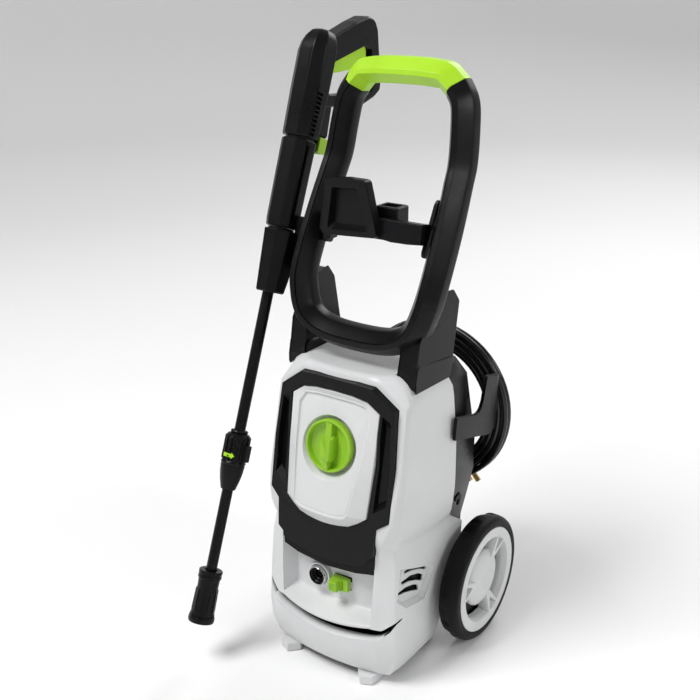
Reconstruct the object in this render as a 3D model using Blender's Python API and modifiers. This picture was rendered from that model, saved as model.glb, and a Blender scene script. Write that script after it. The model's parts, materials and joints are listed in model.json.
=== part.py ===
"""Domestic electric pressure washer: upright body on two wheels, ring handle,
accessory holder, spray gun and lance in a side cradle, coiled mains lead at the back.

Run with: blender --background --python part.py
Front faces -Y, +X is the viewer's right, +Z is up, the floor is z = 0.
Numbers inside the shape functions are millimetres, turned to metres by mm().
"""
import math

import bmesh
import bpy
from mathutils import Matrix, Vector

# ---------------------------------------------------------------- driving dimensions
MM = 0.001
FRAME_X = 0.0145             # the machine's symmetry plane, right of the part's origin
FRAME_Y = -0.1121            # the knob's plane, in front of the part's origin
GAP = 0.4                    # clearance between touching pieces
WALL = 2.8                   # casing wall

PARTING = [(12, 122), (40, 126), (66, 131), (98, 140), (143, 160), (172, 192), (186, 187),
           (214, 150), (228, 149), (250, 153), (268, 154), (330, 155), (412, 152), (431, 142),
           (447, 138), (456, 135)]         # height and depth of the casings' parting line
REAR_HALF = [(16, 99), (66, 106), (143, 106.5), (172, 107), (228, 108), (268, 111), (330, 110),
             (412, 103), (440, 94.5), (452, 84.5)]     # height and half width of the rear casing there

WHEEL_AXLE = (189.8, 97.4)   # depth and height of the axle
TYRE_R = 97.4
RIM_R = 81.9

KNOB_AT = (0.0, 2.0, 351.9)
KNOB_R = 37.3
FRONT_TILT = math.radians(9.0)     # the control panel's normal points up by this

LANCE_FOOT = (-160.0, -104.5, 60.0)      # nozzle end of the gun and lance
LANCE_LEAN = math.radians(21.0)

CORD_D = 9.0                 # mains lead
COIL_AT = (0.0, 281.0, 322.0)
COIL_R = 115.0               # middle of the coil's turns
COIL_RADIAL = 38.0
COIL_AXIAL = 19.0

INLET = (52.0, 160.0)        # x and z of the water inlet at the back

BEZEL_OUT = [(0, 446), (34, 445.5), (59, 443), (94, 417), (100, 340), (100, 264), (83, 252),
             (81, 211), (62, 191), (30, 185), (0, 183)]
BEZEL_IN = [(0, 430), (30, 429), (53, 425), (73, 411), (72, 340), (68, 262), (56, 253),
            (42, 245), (26, 242), (12, 240.5), (0, 240)]
LEG = [(53, 436), (53, 452), (62, 500), (70, 512), (96, 560), (128, 560), (145, 540),
       (143, 432)]           # side outline of a leg, depth and height


def mm(*values):
    """A vector in metres from millimetres."""
    return Vector([value * MM for value in values])


# ---------------------------------------------------------------- scene set-up
for old in list(bpy.data.objects):
    bpy.data.objects.remove(old, do_unlink=True)

parts = bpy.data.collections.new("pressure_washer")
cutters = bpy.data.collections.new("cutters")
bpy.context.scene.collection.children.link(parts)
bpy.context.scene.collection.children.link(cutters)


def material(name, colour, roughness, metallic=0.0):
    """A Principled material."""
    made = bpy.data.materials.new(name)
    made.use_nodes = True
    shader = made.node_tree.nodes["Principled BSDF"]
    shader.inputs["Base Color"].default_value = (*colour, 1.0)
    shader.inputs["Roughness"].default_value = roughness
    shader.inputs["Metallic"].default_value = metallic
    return made


WHITE = material("white_plastic", (0.74, 0.75, 0.76), 0.45)
BLACK = material("black_plastic", (0.018, 0.018, 0.020), 0.5)
GREEN = material("green_plastic", (0.36, 0.66, 0.03), 0.4)
RUBBER = material("black_rubber", (0.012, 0.012, 0.012), 0.75)
STEEL = material("zinc_steel", (0.62, 0.63, 0.64), 0.3, 1.0)
BRASS = material("brass", (0.78, 0.58, 0.25), 0.3, 1.0)
CABLE = material("cable_pvc", (0.010, 0.010, 0.010), 0.32)
ALLOY = material("cast_aluminium", (0.55, 0.56, 0.57), 0.45, 1.0)
LAMINATED = material("laminated_steel", (0.30, 0.28, 0.27), 0.5, 1.0)


def empty(name, at, rotation=(0.0, 0.0, 0.0), parent=None):
    """A named frame; at is in millimetres in the parent's frame."""
    frame = bpy.data.objects.new(name, None)
    frame.location = mm(*at)
    frame.rotation_euler = rotation
    frame.parent = parent
    parts.objects.link(frame)
    return frame


machine = empty("machine_frame", (FRAME_X / MM, FRAME_Y / MM, 0.0))
gun_frame = empty("gun_frame", LANCE_FOOT, (-LANCE_LEAN, 0.0, 0.0), machine)
knob_frame = empty("knob_frame", KNOB_AT, (math.pi / 2.0 - FRONT_TILT, 0.0, 0.0), machine)


# ---------------------------------------------------------------- shape helpers
def place(mesh, name, look, parent=machine, at=(0, 0, 0), turn=(0, 0, 0), cutter=False):
    """An object made from a mesh, with its material, in its collection."""
    made = bpy.data.objects.new(name, mesh)
    made.location = mm(*at)
    made.rotation_euler = turn
    made.parent = parent
    if cutter:
        made.hide_render = True
        made.display_type = "WIRE"
        cutters.objects.link(made)
    else:
        mesh.materials.append(look)
        parts.objects.link(made)
    return made


def mesh_from(bm, name):
    """A mesh from a bmesh, with its normals turned outward."""
    bmesh.ops.recalc_face_normals(bm, faces=bm.faces)
    mesh = bpy.data.meshes.new(name)
    bm.to_mesh(mesh)
    bm.free()
    return mesh


def box(name, look, low, high, parent=machine, bevel=0.0, cutter=False):
    """A box between two corners, with optional rounded edges."""
    bm = bmesh.new()
    bmesh.ops.create_cube(bm, size=1.0)
    size = [(b - a) * MM for a, b in zip(low, high)]
    bmesh.ops.scale(bm, vec=size, verts=bm.verts)
    middle = [(a + b) / 2.0 for a, b in zip(low, high)]
    made = place(mesh_from(bm, name), name, look, parent, middle, cutter=cutter)
    if bevel:
        soften(made, bevel)
    return made


def soften(made, width, segments=1, angle=35.0):
    """A Bevel modifier on the sharp edges; width in millimetres."""
    rounded = made.modifiers.new("rounded_edges", "BEVEL")
    rounded.width = width * MM
    rounded.segments = segments
    rounded.limit_method = "ANGLE"
    rounded.angle_limit = math.radians(angle)


def rod(name, look, radius, start, end, parent=machine, sides=20, top=None, cutter=False):
    """A straight cylinder, or a cone when top is given, between two points."""
    first, last = mm(*start), mm(*end)
    bm = bmesh.new()
    bmesh.ops.create_cone(
        bm, cap_ends=True, segments=sides, radius1=radius * MM,
        radius2=(radius if top is None else top) * MM, depth=(last - first).length)
    made = place(mesh_from(bm, name), name, look, parent, (0, 0, 0), cutter=cutter)
    made.location = (first + last) / 2.0
    made.rotation_euler = (last - first).to_track_quat("Z", "Y").to_euler()
    return made


def turned(name, look, profile, parent=machine, at=(0, 0, 0), turn=(0, 0, 0), steps=32,
           ring=False, cutter=False):
    """A profile of (radius, height) turned round local Z; ring closes the profile."""
    mesh = bpy.data.meshes.new(name)
    area = sum(a[0] * b[1] - b[0] * a[1] for a, b in zip(profile, profile[1:] + profile[:1]))
    if area > 0.0:           # the outer side has to run downwards
        profile = profile[::-1]
    points = [(radius * MM, 0.0, height * MM) for radius, height in profile]
    edges = [(i, i + 1) for i in range(len(points) - 1)]
    if ring:
        edges.append((len(points) - 1, 0))
    mesh.from_pydata(points, edges, [])
    made = place(mesh, name, look, parent, at, turn, cutter)
    screw = made.modifiers.new("turn", "SCREW")
    screw.steps = steps
    screw.render_steps = steps
    screw.use_merge_vertices = True
    screw.merge_threshold = 0.00001
    return made


def extruded(name, look, outline, low, high, axis="X", parent=machine, bevel=0.0,
             cutter=False):
    """A flat outline pushed from low to high along an axis.

    The outline's two numbers are (y, z) for X, (x, z) for Y and (x, y) for Z.
    """
    def corner(a, b, depth):
        spot = {"X": (depth, a, b), "Y": (a, depth, b), "Z": (a, b, depth)}[axis]
        return mm(*spot)

    bm = bmesh.new()
    base = bm.faces.new([bm.verts.new(corner(a, b, low)) for a, b in outline])
    grown = bmesh.ops.extrude_face_region(bm, geom=[base])
    shift = corner(0, 0, high) - corner(0, 0, low)
    moved = [item for item in grown["geom"] if isinstance(item, bmesh.types.BMVert)]
    bmesh.ops.translate(bm, vec=shift, verts=moved)
    made = place(mesh_from(bm, name), name, look, parent, cutter=cutter)
    if bevel:
        soften(made, bevel)
    return made


def loft(name, look, sections, parent=machine, closed=False, caps=True, cutter=False):
    """Matching loops of points joined in order; closed joins the last to the first."""
    bm = bmesh.new()
    loops = [[bm.verts.new(mm(*point)) for point in loop] for loop in sections]
    pairs = list(zip(loops, loops[1:]))
    if closed:
        pairs.append((loops[-1], loops[0]))
    for lower, upper in pairs:
        for i, here in enumerate(lower):
            j = (i + 1) % len(lower)
            bm.faces.new((here, lower[j], upper[j], upper[i]))
    if caps and not closed:
        bm.faces.new(list(reversed(loops[0])))
        bm.faces.new(loops[-1])
    return place(mesh_from(bm, name), name, look, parent, cutter=cutter)


def tube(name, look, points, radius, parent=machine, sides=2):
    """A round bar along a line of points, with filled caps."""
    curve = bpy.data.curves.new(name, "CURVE")
    curve.dimensions = "3D"
    curve.bevel_depth = radius * MM
    curve.bevel_resolution = sides
    curve.use_fill_caps = True
    line = curve.splines.new("POLY")
    line.points.add(len(points) - 1)
    for spot, point in zip(line.points, points):
        spot.co = (*mm(*point), 1.0)
    made = bpy.data.objects.new(name, curve)
    made.parent = parent
    curve.materials.append(look)
    parts.objects.link(made)
    return made


def smooth_route(knots, step):
    """Points a step apart on a Catmull-Rom curve through the knots."""
    ends = [Vector(knots[0]) * 2 - Vector(knots[1])]
    ends += [Vector(knot) for knot in knots]
    ends.append(Vector(knots[-1]) * 2 - Vector(knots[-2]))
    points = []
    for a, b, c, d in zip(ends, ends[1:], ends[2:], ends[3:]):
        count = max(1, round((c - b).length / step))
        for i in range(count):
            t = i / count
            spot = (b * 2 + (c - a) * t + (a * 2 - b * 5 + c * 4 - d) * t ** 2
                    + (b * 3 - a - c * 3 + d) * t ** 3) / 2
            points.append(tuple(spot))
    points.append(tuple(ends[-2]))
    return points


def cut(target, *tools):
    """Subtract the cutters from the target."""
    for tool in tools:
        step = target.modifiers.new("cut_" + tool.name, "BOOLEAN")
        step.operation = "DIFFERENCE"
        step.object = tool


def join(target, *tools):
    """Add the cutters' shapes to the target."""
    for tool in tools:
        step = target.modifiers.new("join_" + tool.name, "BOOLEAN")
        step.operation = "UNION"
        step.object = tool


def between(table, z):
    """Linear interpolation in a table of (height, value) pairs."""
    for (z0, v0), (z1, v1) in zip(table, table[1:]):
        if z <= z1:
            return v0 + (v1 - v0) * max(0.0, z - z0) / (z1 - z0)
    return table[-1][1]


def mirrored(half):
    """A full outline from its right half, given from the centre outwards."""
    return [(-x, y) for x, y in reversed(half[1:])] + half


def whole(half):
    """An outline from its right half, given from the top centre to the bottom centre."""
    return half + [(-x, z) for x, z in reversed(half) if x > 0.0]


# ---------------------------------------------------------------- casings
# Each level: height, then the front's centre depth, its shoulder, corner and side.
FRONT_LEVELS = [
    (12, -9, (80, -1), (100, 6), (104, 62)),
    (40, -24, (88, -11), (110, 1), (111, 62)),
    (66, -26, (90, -13), (113, 1), (114, 62)),
    (98, -22, (82, -9), (112, 2), (113, 62)),
    (143, -17, (82, -6), (110, 4), (112, 62)),
    (186, -11, (84, -1), (107, 7), (110, 62)),
    (214, -14, (85, -5), (106, 7), (108, 62)),
    (228, -16, (87, -7), (108, 7), (113, 62)),
    (250, -14, (93, -4), (111, 6), (114, 62)),
    (268, -11, (99, 1), (113, 8), (115, 62)),
    (330, 0, (99, 11), (111, 18), (113, 62)),
    (412, 14, (96, 26), (105, 34), (107, 66)),
    (431, 18, (82, 27), (97, 38), (103, 68)),
    (447, 21, (64, 27), (84, 40), (96, 70)),
    (456, 27, (58, 33), (76, 48), (88, 74)),
]


def front_outline(level):
    """One level of the white casing, open at the back."""
    z, centre, shoulder, corner, side = level
    rear = (side[0], between(PARTING, z) - GAP)
    half = [(0, centre), (shoulder[0] / 2, centre + (shoulder[1] - centre) * 0.3),
            shoulder, corner, side, rear]
    return [(x, y, z) for x, y in mirrored(half)]


def open_shell(name, look, levels, wall, top=True):
    """A skin through open outlines, closed over the top, thickened inward."""
    bm = bmesh.new()
    rows = [[bm.verts.new(mm(*point)) for point in level] for level in levels]
    for lower, upper in zip(rows, rows[1:]):
        for i in range(len(lower) - 1):
            bm.faces.new((lower[i], lower[i + 1], upper[i + 1], upper[i]))
    if top:
        bm.faces.new(rows[-1])
    mesh = bpy.data.meshes.new(name)
    bm.to_mesh(mesh)
    bm.free()
    shell = place(mesh, name, look)
    skin = shell.modifiers.new("wall", "SOLIDIFY")
    skin.thickness = wall * MM
    skin.offset = -1.0
    skin.use_even_offset = True
    return shell


def window_cutter():
    """The opening in the casing's front that the connector tray fills."""
    right = [(82, 186), (79, 100), (90, 84), (76, 70)]
    outline = right + [(-x, z) for x, z in reversed(right)]
    return extruded("front_window", None, outline, -60, 24, "Y", cutter=True)


def bezel_opening():
    """The opening that the bezel sits in."""
    outline = [(x * 1.008, 315 + (z - 315) * 1.008) for x, z in whole(BEZEL_OUT)]
    return extruded("bezel_opening", None, outline, -60, 42, "Y", cutter=True)


def leg_shape(name, side, grow):
    """A leg of the handle, or with grow the larger space it stands in."""
    middle = Vector((100.0, 496.0))
    foot = []
    for x, lean, lift in ((76 - 2.5 * grow, 0.16, 14), (98, 0.06, 3), (105.5 + grow, 0.08, 0)):
        rows = []
        for y, z in LEG:
            out = Vector((y, z)) - middle
            a = y + math.copysign(grow, out.x)
            b = z + math.copysign(grow, out.y)
            rows.append((side * (x + lean * (z - 436) * (y - 62) / 80), a,
                         b + (lift if z < 480 else 0)))
        foot.append(rows)
    return loft(name, None, foot, cutter=True)


def vent_cutter(side, row):
    """One louvre slot in a side wall."""
    z = 160 - 15 * row
    y = 84 - 9 * row
    outline = [(y - 46, z - 2), (y - 2, z + 5), (y + 14, z - 1), (y + 12, z - 7),
               (y - 2, z - 3), (y - 46, z - 6)]
    low, high = (94, 112) if side > 0 else (-112, -94)
    return extruded(f"vent_slot_{'right' if side > 0 else 'left'}_{row}", None, outline,
                    low, high, "X", cutter=True)


def make_front_casing():
    """The white front casing, one moulding with the bumper."""
    levels = [front_outline(level) for level in FRONT_LEVELS]
    casing = open_shell("front_casing", WHITE, levels, WALL)
    cut(casing, window_cutter(), bezel_opening())
    for side in (-1, 1):
        cut(casing, leg_shape(f"front_leg_space_{side}", side, 1.0))
        for row in range(3):
            cut(casing, vent_cutter(side, row))


REAR_LEVELS = [
    (16, (96, 150), (84, 168), (60, 176)),
    (66, (96, 156), (84, 184), (60, 200)),
    (143, (97, 185), (86, 214), (62, 232)),
    (186, (98, 206), (90, 226), (66, 240)),
    (214, (99, 196), (94, 232), (68, 244)),
    (250, (103, 205), (98, 240), (70, 248)),
    (300, (104, 205), (98, 240), (70, 248)),
    (412, (103, 190), (94, 214), (68, 230)),
    (440, (96, 170), (84, 196), (60, 208)),
    (452, (86, 156), (70, 176), (50, 186)),
]


def make_rear_casing():
    """The black rear casing, open towards the front."""
    levels = []
    for z, side, corner, back in REAR_LEVELS:
        front = (between(REAR_HALF, z), between(PARTING, z) + GAP)
        half = [(0, back[1] + 3), back, corner, side, front]
        levels.append([(x, y, z) for x, y in reversed(mirrored(half))])
    casing = open_shell("rear_casing", BLACK, levels, WALL)
    cut(casing, rod("axle_tunnel", None, 8, (-120, *WHEEL_AXLE), (120, *WHEEL_AXLE),
                    cutter=True))
    cut(casing, rod("gland_hole", None, 8.5, (-60, 200, 262), (-60, 270, 262), cutter=True))
    x, z = INLET
    cut(casing, rod("inlet_hole", None, 13.5, (x, 190, z), (x, 270, z), cutter=True))
    for side in (-1, 1):
        cut(casing, leg_shape(f"rear_leg_space_{side}", side, 1.0))


make_front_casing()
make_rear_casing()


# ---------------------------------------------------------------- front pieces
BEZEL_CENTRE = [(180, -12), (205, -22), (264, -16), (417, 9), (446, 13)]
BOW = 0.00125                # how far the front curves back, per millimetre squared


def front_depth(x, z, proud=0.0):
    """Depth of the bezel's face at a place on the bowed front."""
    return between(BEZEL_CENTRE, z) + BOW * x * x - proud


def bowed_plate(name, look, outer, inner, thickness, proud=0.0):
    """A plate that follows the bowed front; inner is the outline of its window."""
    def point(x, z, back):
        return (x, front_depth(x, z, proud) + back, z)

    loops = [outer, inner, inner, outer]
    backs = [0.0, 0.0, thickness, thickness]
    sections = [[point(x, z, back) for x, z in loop] for loop, back in zip(loops, backs)]
    return loft(name, look, sections, closed=True)


def make_bezel():
    """The black frame round the control panel."""
    bowed_plate("front_bezel", BLACK, whole(BEZEL_OUT), whole(BEZEL_IN), 9.0)


def make_panel():
    """The white control panel with the dished seat and the spindle hole."""
    outline = [(x * 0.985, 336 + (z - 336) * 0.985) for x, z in whole(BEZEL_IN)]
    centre = [(x * 0.30, 350 + (z - 350) * 0.2) for x, z in outline]
    panel = bowed_plate("control_panel", WHITE, outline, centre, 5.0, proud=-2.0)
    cut(panel, rod("knob_seat", None, KNOB_R + 4, (0, 0, -60), (0, 0, 40), knob_frame,
                   sides=36, cutter=True))


def make_seat():
    """The round dish behind the knob, with the spindle's hole."""
    turned("knob_dish", WHITE, [(5.0, -10), (5.0, -13), (KNOB_R + 3.4, -13),
                                (KNOB_R + 3.4, -3), (KNOB_R + 1.2, -3), (KNOB_R + 1.2, -10)],
           knob_frame, ring=True)


def make_tray():
    """The recessed tray that holds the outlet; its lip hangs over the bumper."""
    lip_back = [(79, 96, -11, 14), (40, 90, -19, 8), (0, 88, -23, 5)]
    sections = []
    for x, z, front, back in lip_back + [(-a, b, c, d) for a, b, c, d in lip_back[1::-1]]:
        wall = 12 - 0.0012 * (62 ** 2 - min(abs(x), 62) ** 2)
        sections.append([(x, front, z - 6), (x, front - 1, z), (x, front + 6, z + 2),
                         (x, wall - 4, z + 16), (x, wall, 184), (x, wall + 3, 184),
                         (x, wall + 1, z + 10), (x, back, z - 6)])
    tray = loft("connector_tray", WHITE, sections)
    for side in (-1, 1):
        cheek = extruded(f"tray_cheek_{side}", None,
                         [(-3, 184), (-12, 98), (10, 98), (16, 184)],
                         side * 74.5, side * 77.5, "X", cutter=True)
        join(tray, cheek)
    cut(tray, rod("outlet_hole", None, 15, (OUTLET[0], -40, OUTLET[1]),
                  (OUTLET[0], 40, OUTLET[1]), cutter=True))
    cut(tray, box("latch_slot", None, (3, -30, 130), (39, 40, 150), cutter=True))


OUTLET = (-20.0, 141.0)      # place of the high-pressure outlet, x and z


def make_outlet():
    """The outlet's metal ring, its socket and the sliding release latch."""
    x, z = OUTLET
    turn = (math.pi / 2.0, 0.0, 0.0)
    turned("outlet_ring", STEEL, [(12.4, 3), (14.6, 3), (14.6, -12), (12.4, -12)],
           at=(x, -2, z), turn=turn, steps=24, ring=True)
    turned("outlet_socket", BLACK, [(6.5, 1), (12.0, 1), (12.0, -38), (6.5, -38)],
           at=(x, -2, z), turn=turn, steps=24, ring=True)
    latch = box("outlet_latch", GREEN, (4, -8, 131), (33, 6, 149), bevel=1.5)
    tab = box("latch_tab", None, (4, -14, 131), (18, -7, 149), cutter=True)
    join(latch, tab)


def make_knob():
    """The rotary switch knob with its bar grip, and its spindle."""
    knob = turned("power_knob", GREEN,
                  [(0, 1), (KNOB_R - 6, 1), (KNOB_R - 4.5, 6), (KNOB_R - 1, 6),
                   (KNOB_R, 4.5), (KNOB_R, -7), (0, -7)], knob_frame, steps=40)
    grip = [(-9, -KNOB_R + 5), (9, -KNOB_R + 5), (11, 8), (6, KNOB_R - 3), (-6, KNOB_R - 3),
            (-11, 8)]
    bar = extruded("knob_bar", None, grip, -2, 13, "Z", knob_frame, cutter=True)
    join(knob, bar)
    rod("knob_spindle", STEEL, 4.0, (0, 0, -36), (0, 0, -7 - GAP), knob_frame, sides=12)


def make_switch():
    """The switch block that the spindle enters from the front."""
    block = box("switch_block", BLACK, (-24, 42, 326), (24, 74, 376), bevel=1.0)
    cut(block, rod("spindle_bore", None, 5.0, (0, 0, -60), (0, 0, 0), knob_frame,
                   cutter=True))


# ---------------------------------------------------------------- handle
# Half of the handle's front edge: place, then how far back its depth direction dips.
RING_HALF = [
    ((0, 47, 487), 0.0), ((40, 47, 489), 0.0), ((68, 47.5, 497), 0.02),
    ((88, 49, 513), 0.04), ((99, 53, 540), 0.06), ((104.5, 63.4, 575.4), 0.12),
    ((104, 98, 645), 0.22), ((100.5, 128, 703), 0.22), ((98.9, 140.2, 728), 0.19),
    ((96, 148.5, 766), 0.15), ((91, 155, 799), 0.10), ((79.5, 158.5, 818), 0.07),
]
GRIP_HALF = [((64, 156.5, 832.5), 0.02), ((34, 154.5, 835), 0.0), ((0, 154, 835.5), 0.0)]
RING_PROFILE = [(-3.5, 0), (3.5, 0), (17.5, 20), (18, 36), (14, 44), (-14, 44), (-18, 36),
                (-17.5, 20)]


def ring_sections(shift):
    """Cross-sections all round the handle, from the top centre over the right arm.

    Each carries the shift, in millimetres, along its own place on the path.
    """
    half = (RING_HALF + GRIP_HALF)[::-1]
    full = half + [((-x, y, z), dip) for (x, y, z), dip in half[-2:0:-1]]
    spots = [Vector(spot) for spot, _ in full]
    sections = []
    for i, (spot, (_, dip)) in enumerate(zip(spots, full)):
        along = (spots[(i + 1) % len(spots)] - spots[i - 1]).normalized()
        back = Vector((0.0, 1.0, -dip)).normalized()
        out = back.cross(along).normalized()
        middle = spot + along * shift
        sections.append([tuple(middle + out * u + back * w) for u, w in RING_PROFILE])
    return sections


def make_handle():
    """The black handle frame: lower ring and arms on two feet."""
    first = len(GRIP_HALF)
    frame = loft("handle_frame", BLACK, ring_sections(0.0)[first:-(first - 1)])
    for side in (-1, 1):
        join(frame, leg_shape(f"leg_{side}", side, 0.0))
        cut(frame, rod(f"hose_notch_{side}", None, 17, (side * 96, 168, 634),
                       (side * 140, 168, 634), cutter=True))


def make_grip():
    """The green over-moulded top grip."""
    count = len(GRIP_HALF)
    before, after = ring_sections(-GAP), ring_sections(GAP)
    sections = after[-count:] + after[:1] + before[1:count + 1]
    loft("handle_grip", GREEN, sections)


def make_holder():
    """The accessory holder: a nozzle pocket and a ledge on a bar between the arms."""
    holder = extruded("accessory_holder", BLACK,
                      [(93, 624), (118, 618), (126, 630), (122, 648), (98, 652)], -81, 81, "X")
    pocket = extruded("holder_block", None,
                      [(-64, 699), (2, 703), (21, 627), (-71, 621)], 82, 98, "Y", cutter=True)
    hollow = extruded("holder_window", None,
                      [(-48, 686), (-12, 688), (2, 634), (-56, 630)], 60, 92, "Y", cutter=True)
    ledge = box("holder_ledge", None, (-2, 112, 632), (34, 142, 664), cutter=True)
    socket = box("holder_socket", None, (4, 118, 640), (28, 136, 680), cutter=True)
    join(holder, pocket, ledge)
    for side in (-1, 1):
        low, high = sorted((side * 78.5, side * 83))
        pad = extruded(f"holder_pad_{side}", None,
                       [(101, 606), (119, 601), (152, 668), (136, 680)], low, high, "X",
                       cutter=True)
        join(holder, pad)
    cut(holder, hollow, socket)


# ---------------------------------------------------------------- rear hooks and cord
HOOK_X = (115.6, 121.0)      # inner and outer faces of a side hook
HOOK = [(137, 338), (141, 373), (178, 363), (200, 357), (212, 360), (219, 371), (229, 408),
        (268, 398), (269, 350), (267, 322), (262, 312), (240, 309), (190, 323)]


def make_hooks():
    """Two side hooks, the upper saddle that carries the cord, and the lower hook."""
    for side, name in ((1, "cable_hook_right"), (-1, "cable_hook_left")):
        low, high = sorted((side * HOOK_X[0], side * HOOK_X[1]))
        extruded(name, BLACK, HOOK, low, high, "X", bevel=1.0)
    inner = COIL_R - COIL_RADIAL / 2.0 - 1.2
    y1 = COIL_AT[1] + COIL_AXIAL / 2.0 + 2
    for name, angle, back in (("coil_saddle", 90, 235.4), ("coil_keeper", 270, 251.7)):
        arc = [math.radians(angle - 20 + 8 * i) for i in range(6)]
        outer = [(math.cos(a) * inner, COIL_AT[2] + math.sin(a) * inner) for a in arc]
        low = [(math.cos(a) * (inner - 9), COIL_AT[2] + math.sin(a) * (inner - 9))
               for a in reversed(arc)]
        hook = extruded(name, BLACK, outer + low, back, y1, "Y")
        lip = [(math.cos(a) * (inner + 12), COIL_AT[2] + math.sin(a) * (inner + 12))
               for a in arc]
        join(hook, extruded(name + "_lip", None, lip + low, y1, y1 + 4, "Y", cutter=True))


GLAND = (-60.0, 262.0)       # x and z of the cord's way out of the rear casing
LEAD_IN = [(-60, 286.4, 262), (-60, 296, 261.5), (-65, 303, 256), (-78, 305, 251),
           (-93, 302.5, 256), (-105, 298, 271), (-112.5, 295.6, 292)]
LEAD_OUT = [(115, 295.6, 312), (112.5, 298, 297), (105, 304, 279), (93, 311, 259),
            (81.5, 315.8, 238), (72.5, 316, 230.5)]
PLUG_AT = (45.7, 316.0, 208.0)
PLUG_TILT = math.radians(50.0)


def make_cord():
    """The mains lead: strain relief, free tail, the coil and the plug."""
    x, z = GLAND
    turned("cable_gland", BLACK, [(4.9, 0), (8.0, 0), (8.0, 8), (11, 8), (11, 12), (7.4, 14),
                                  (5.6, 44), (4.9, 44)],
           at=(x, 242, z), turn=(-math.pi / 2.0, 0.0, 0.0), steps=16, ring=True)
    half, deep = COIL_RADIAL / 2.0, COIL_AXIAL / 2.0
    ring = [(COIL_R - half, -deep + 4), (COIL_R - half + 4, -deep), (COIL_R + half - 4, -deep),
            (COIL_R + half, -deep + 4), (COIL_R + half, deep - 4), (COIL_R + half - 4, deep),
            (COIL_R - half + 4, deep), (COIL_R - half, deep - 4)]
    turned("cable_coil", CABLE, ring, at=COIL_AT, turn=(math.pi / 2.0, 0.0, 0.0),
           steps=40, ring=True)
    tube("cable_lead_in", CABLE, smooth_route(LEAD_IN, 16), CORD_D / 2.0)
    tube("cable_lead_out", CABLE, smooth_route(LEAD_OUT, 16), CORD_D / 2.0)


def make_plug():
    """The flat three-pin plug that hangs behind the coil, pins outward."""
    frame = empty("plug_frame", PLUG_AT, (0.0, PLUG_TILT, 0.0), machine)
    body = box("plug_body", BLACK, (-11, -24, -27), (11, 24, 20), frame, bevel=3.0)
    neck = rod("plug_neck", None, 8.0, (0, 0, 18), (0, 0, 34), frame, top=5.6, cutter=True)
    join(body, neck)
    base = 11 + GAP
    box("plug_pin_earth", BRASS, (base, -2, -1), (base + 22.5, 2, 7), frame)
    box("plug_pin_live", BRASS, (base, -14.5, -20), (base + 17.5, -8, -16), frame)
    box("plug_pin_neutral", BRASS, (base, 8, -20), (base + 17.5, 14.5, -16), frame)


# ---------------------------------------------------------------- works inside the casing
MOTOR = (0.0, 118.0)         # x and y of the upright motor and pump


def make_motor():
    """The motor's can and field, and the turning rotor, fan and wobble plate."""
    x, y = MOTOR
    turned("motor_can", ALLOY, [(42, 300), (45, 300), (45, 218), (42, 218)], at=(x, y, 0),
           steps=28, ring=True)
    turned("motor_field", LAMINATED, [(26, 292), (41.4, 292), (41.4, 236), (26, 236)],
           at=(x, y, 0), steps=28, ring=True)
    turned("rotor_shaft", STEEL, [(0, 330), (5, 330), (5, 292), (25, 288), (25, 240),
                                  (5, 236), (5, 196), (0, 196)], at=(x, y, 0), steps=20)
    turned("motor_fan", BLACK, [(5.4, 322), (36, 322), (36, 318), (12, 316), (12, 308),
                                (5.4, 308)], at=(x, y, 0), steps=28, ring=True)
    turned("wobble_plate", STEEL, [(5.4, 212), (26, 206), (26, 200), (5.4, 200)],
           at=(x, y, 0), steps=24, ring=True)


def make_pump():
    """The pump block with its ports, and the pipes to the outlet and the inlet."""
    x, y = MOTOR
    block = turned("pump_head", ALLOY, [(0, 191), (34, 191), (34, 150), (28, 132), (0, 132)],
                   at=(x, y, 0), steps=24)
    cut(block, rod("outlet_port", None, 6.5, (x - 20, y - 60, 141), (x - 20, y - 12, 141),
                   cutter=True))
    cut(block, rod("inlet_port", None, 7.5, (x + 25, y + 10, 165), (x + 25, y + 60, 165),
                   cutter=True))
    tube("outlet_pipe", BRASS, [(-20, 40, 141), (-20, 60, 141), (-20, 90, 141), (-20, 104, 141)],
         5.8, sides=3)
    inlet = smooth_route([(25, 130, 165), (27, 158, 165), (40, 182, 162), (51, 202, 160),
                          (52, 215.6, 160)], 12)
    tube("inlet_pipe", BLACK, inlet, 7.0, sides=2)
    back = (-math.pi / 2.0, 0.0, 0.0)
    turned("water_inlet", BRASS, [(8.0, 0), (13.0, 0), (13.0, 24), (17.5, 24), (17.5, 30),
                                  (13.2, 30), (13.2, 46), (8.0, 46)],
           at=(INLET[0], 216, INLET[1]), turn=back, steps=24, ring=True)
    turned("inlet_filter", WHITE, [(0, 6), (7.4, 6), (7.4, 30), (5.5, 34), (0, 34)],
           at=(INLET[0], 216, INLET[1]), turn=back, steps=16)


# ---------------------------------------------------------------- wheels and feet
def make_wheel(side, name):
    """A wheel on its axle end: rim, tyre and hub cap, in a frame whose Z points outward."""
    turn = (0.0, side * math.pi / 2.0, 0.0)
    hub = empty(f"{name}_frame", (0, *WHEEL_AXLE), turn, machine)
    rim = [(6.6, 118), (16, 118), (20, 134), (68, 138), (75, 127), (RIM_R - 0.5, 127),
           (RIM_R - 0.5, 156.5), (70, 156.5), (66, 145), (48, 148), (30, 154), (14, 156),
           (14, 150), (6.6, 150)]
    turned(f"{name}_rim", WHITE, rim, hub, steps=36, ring=True)
    tyre = [(RIM_R, 125.5), (90, 124.5), (TYRE_R - 2.4, 128), (TYRE_R, 136), (TYRE_R, 146),
            (TYRE_R - 2, 153), (90, 156), (RIM_R, 156.5)]
    turned(f"{name}_tyre", RUBBER, tyre, hub, steps=40, ring=True)
    turned(f"{name}_cap", WHITE, [(0, 158), (9, 157.6), (13.4, 156.4), (13.4, 151.5),
                                  (0, 151.5)], hub, steps=24)


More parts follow.
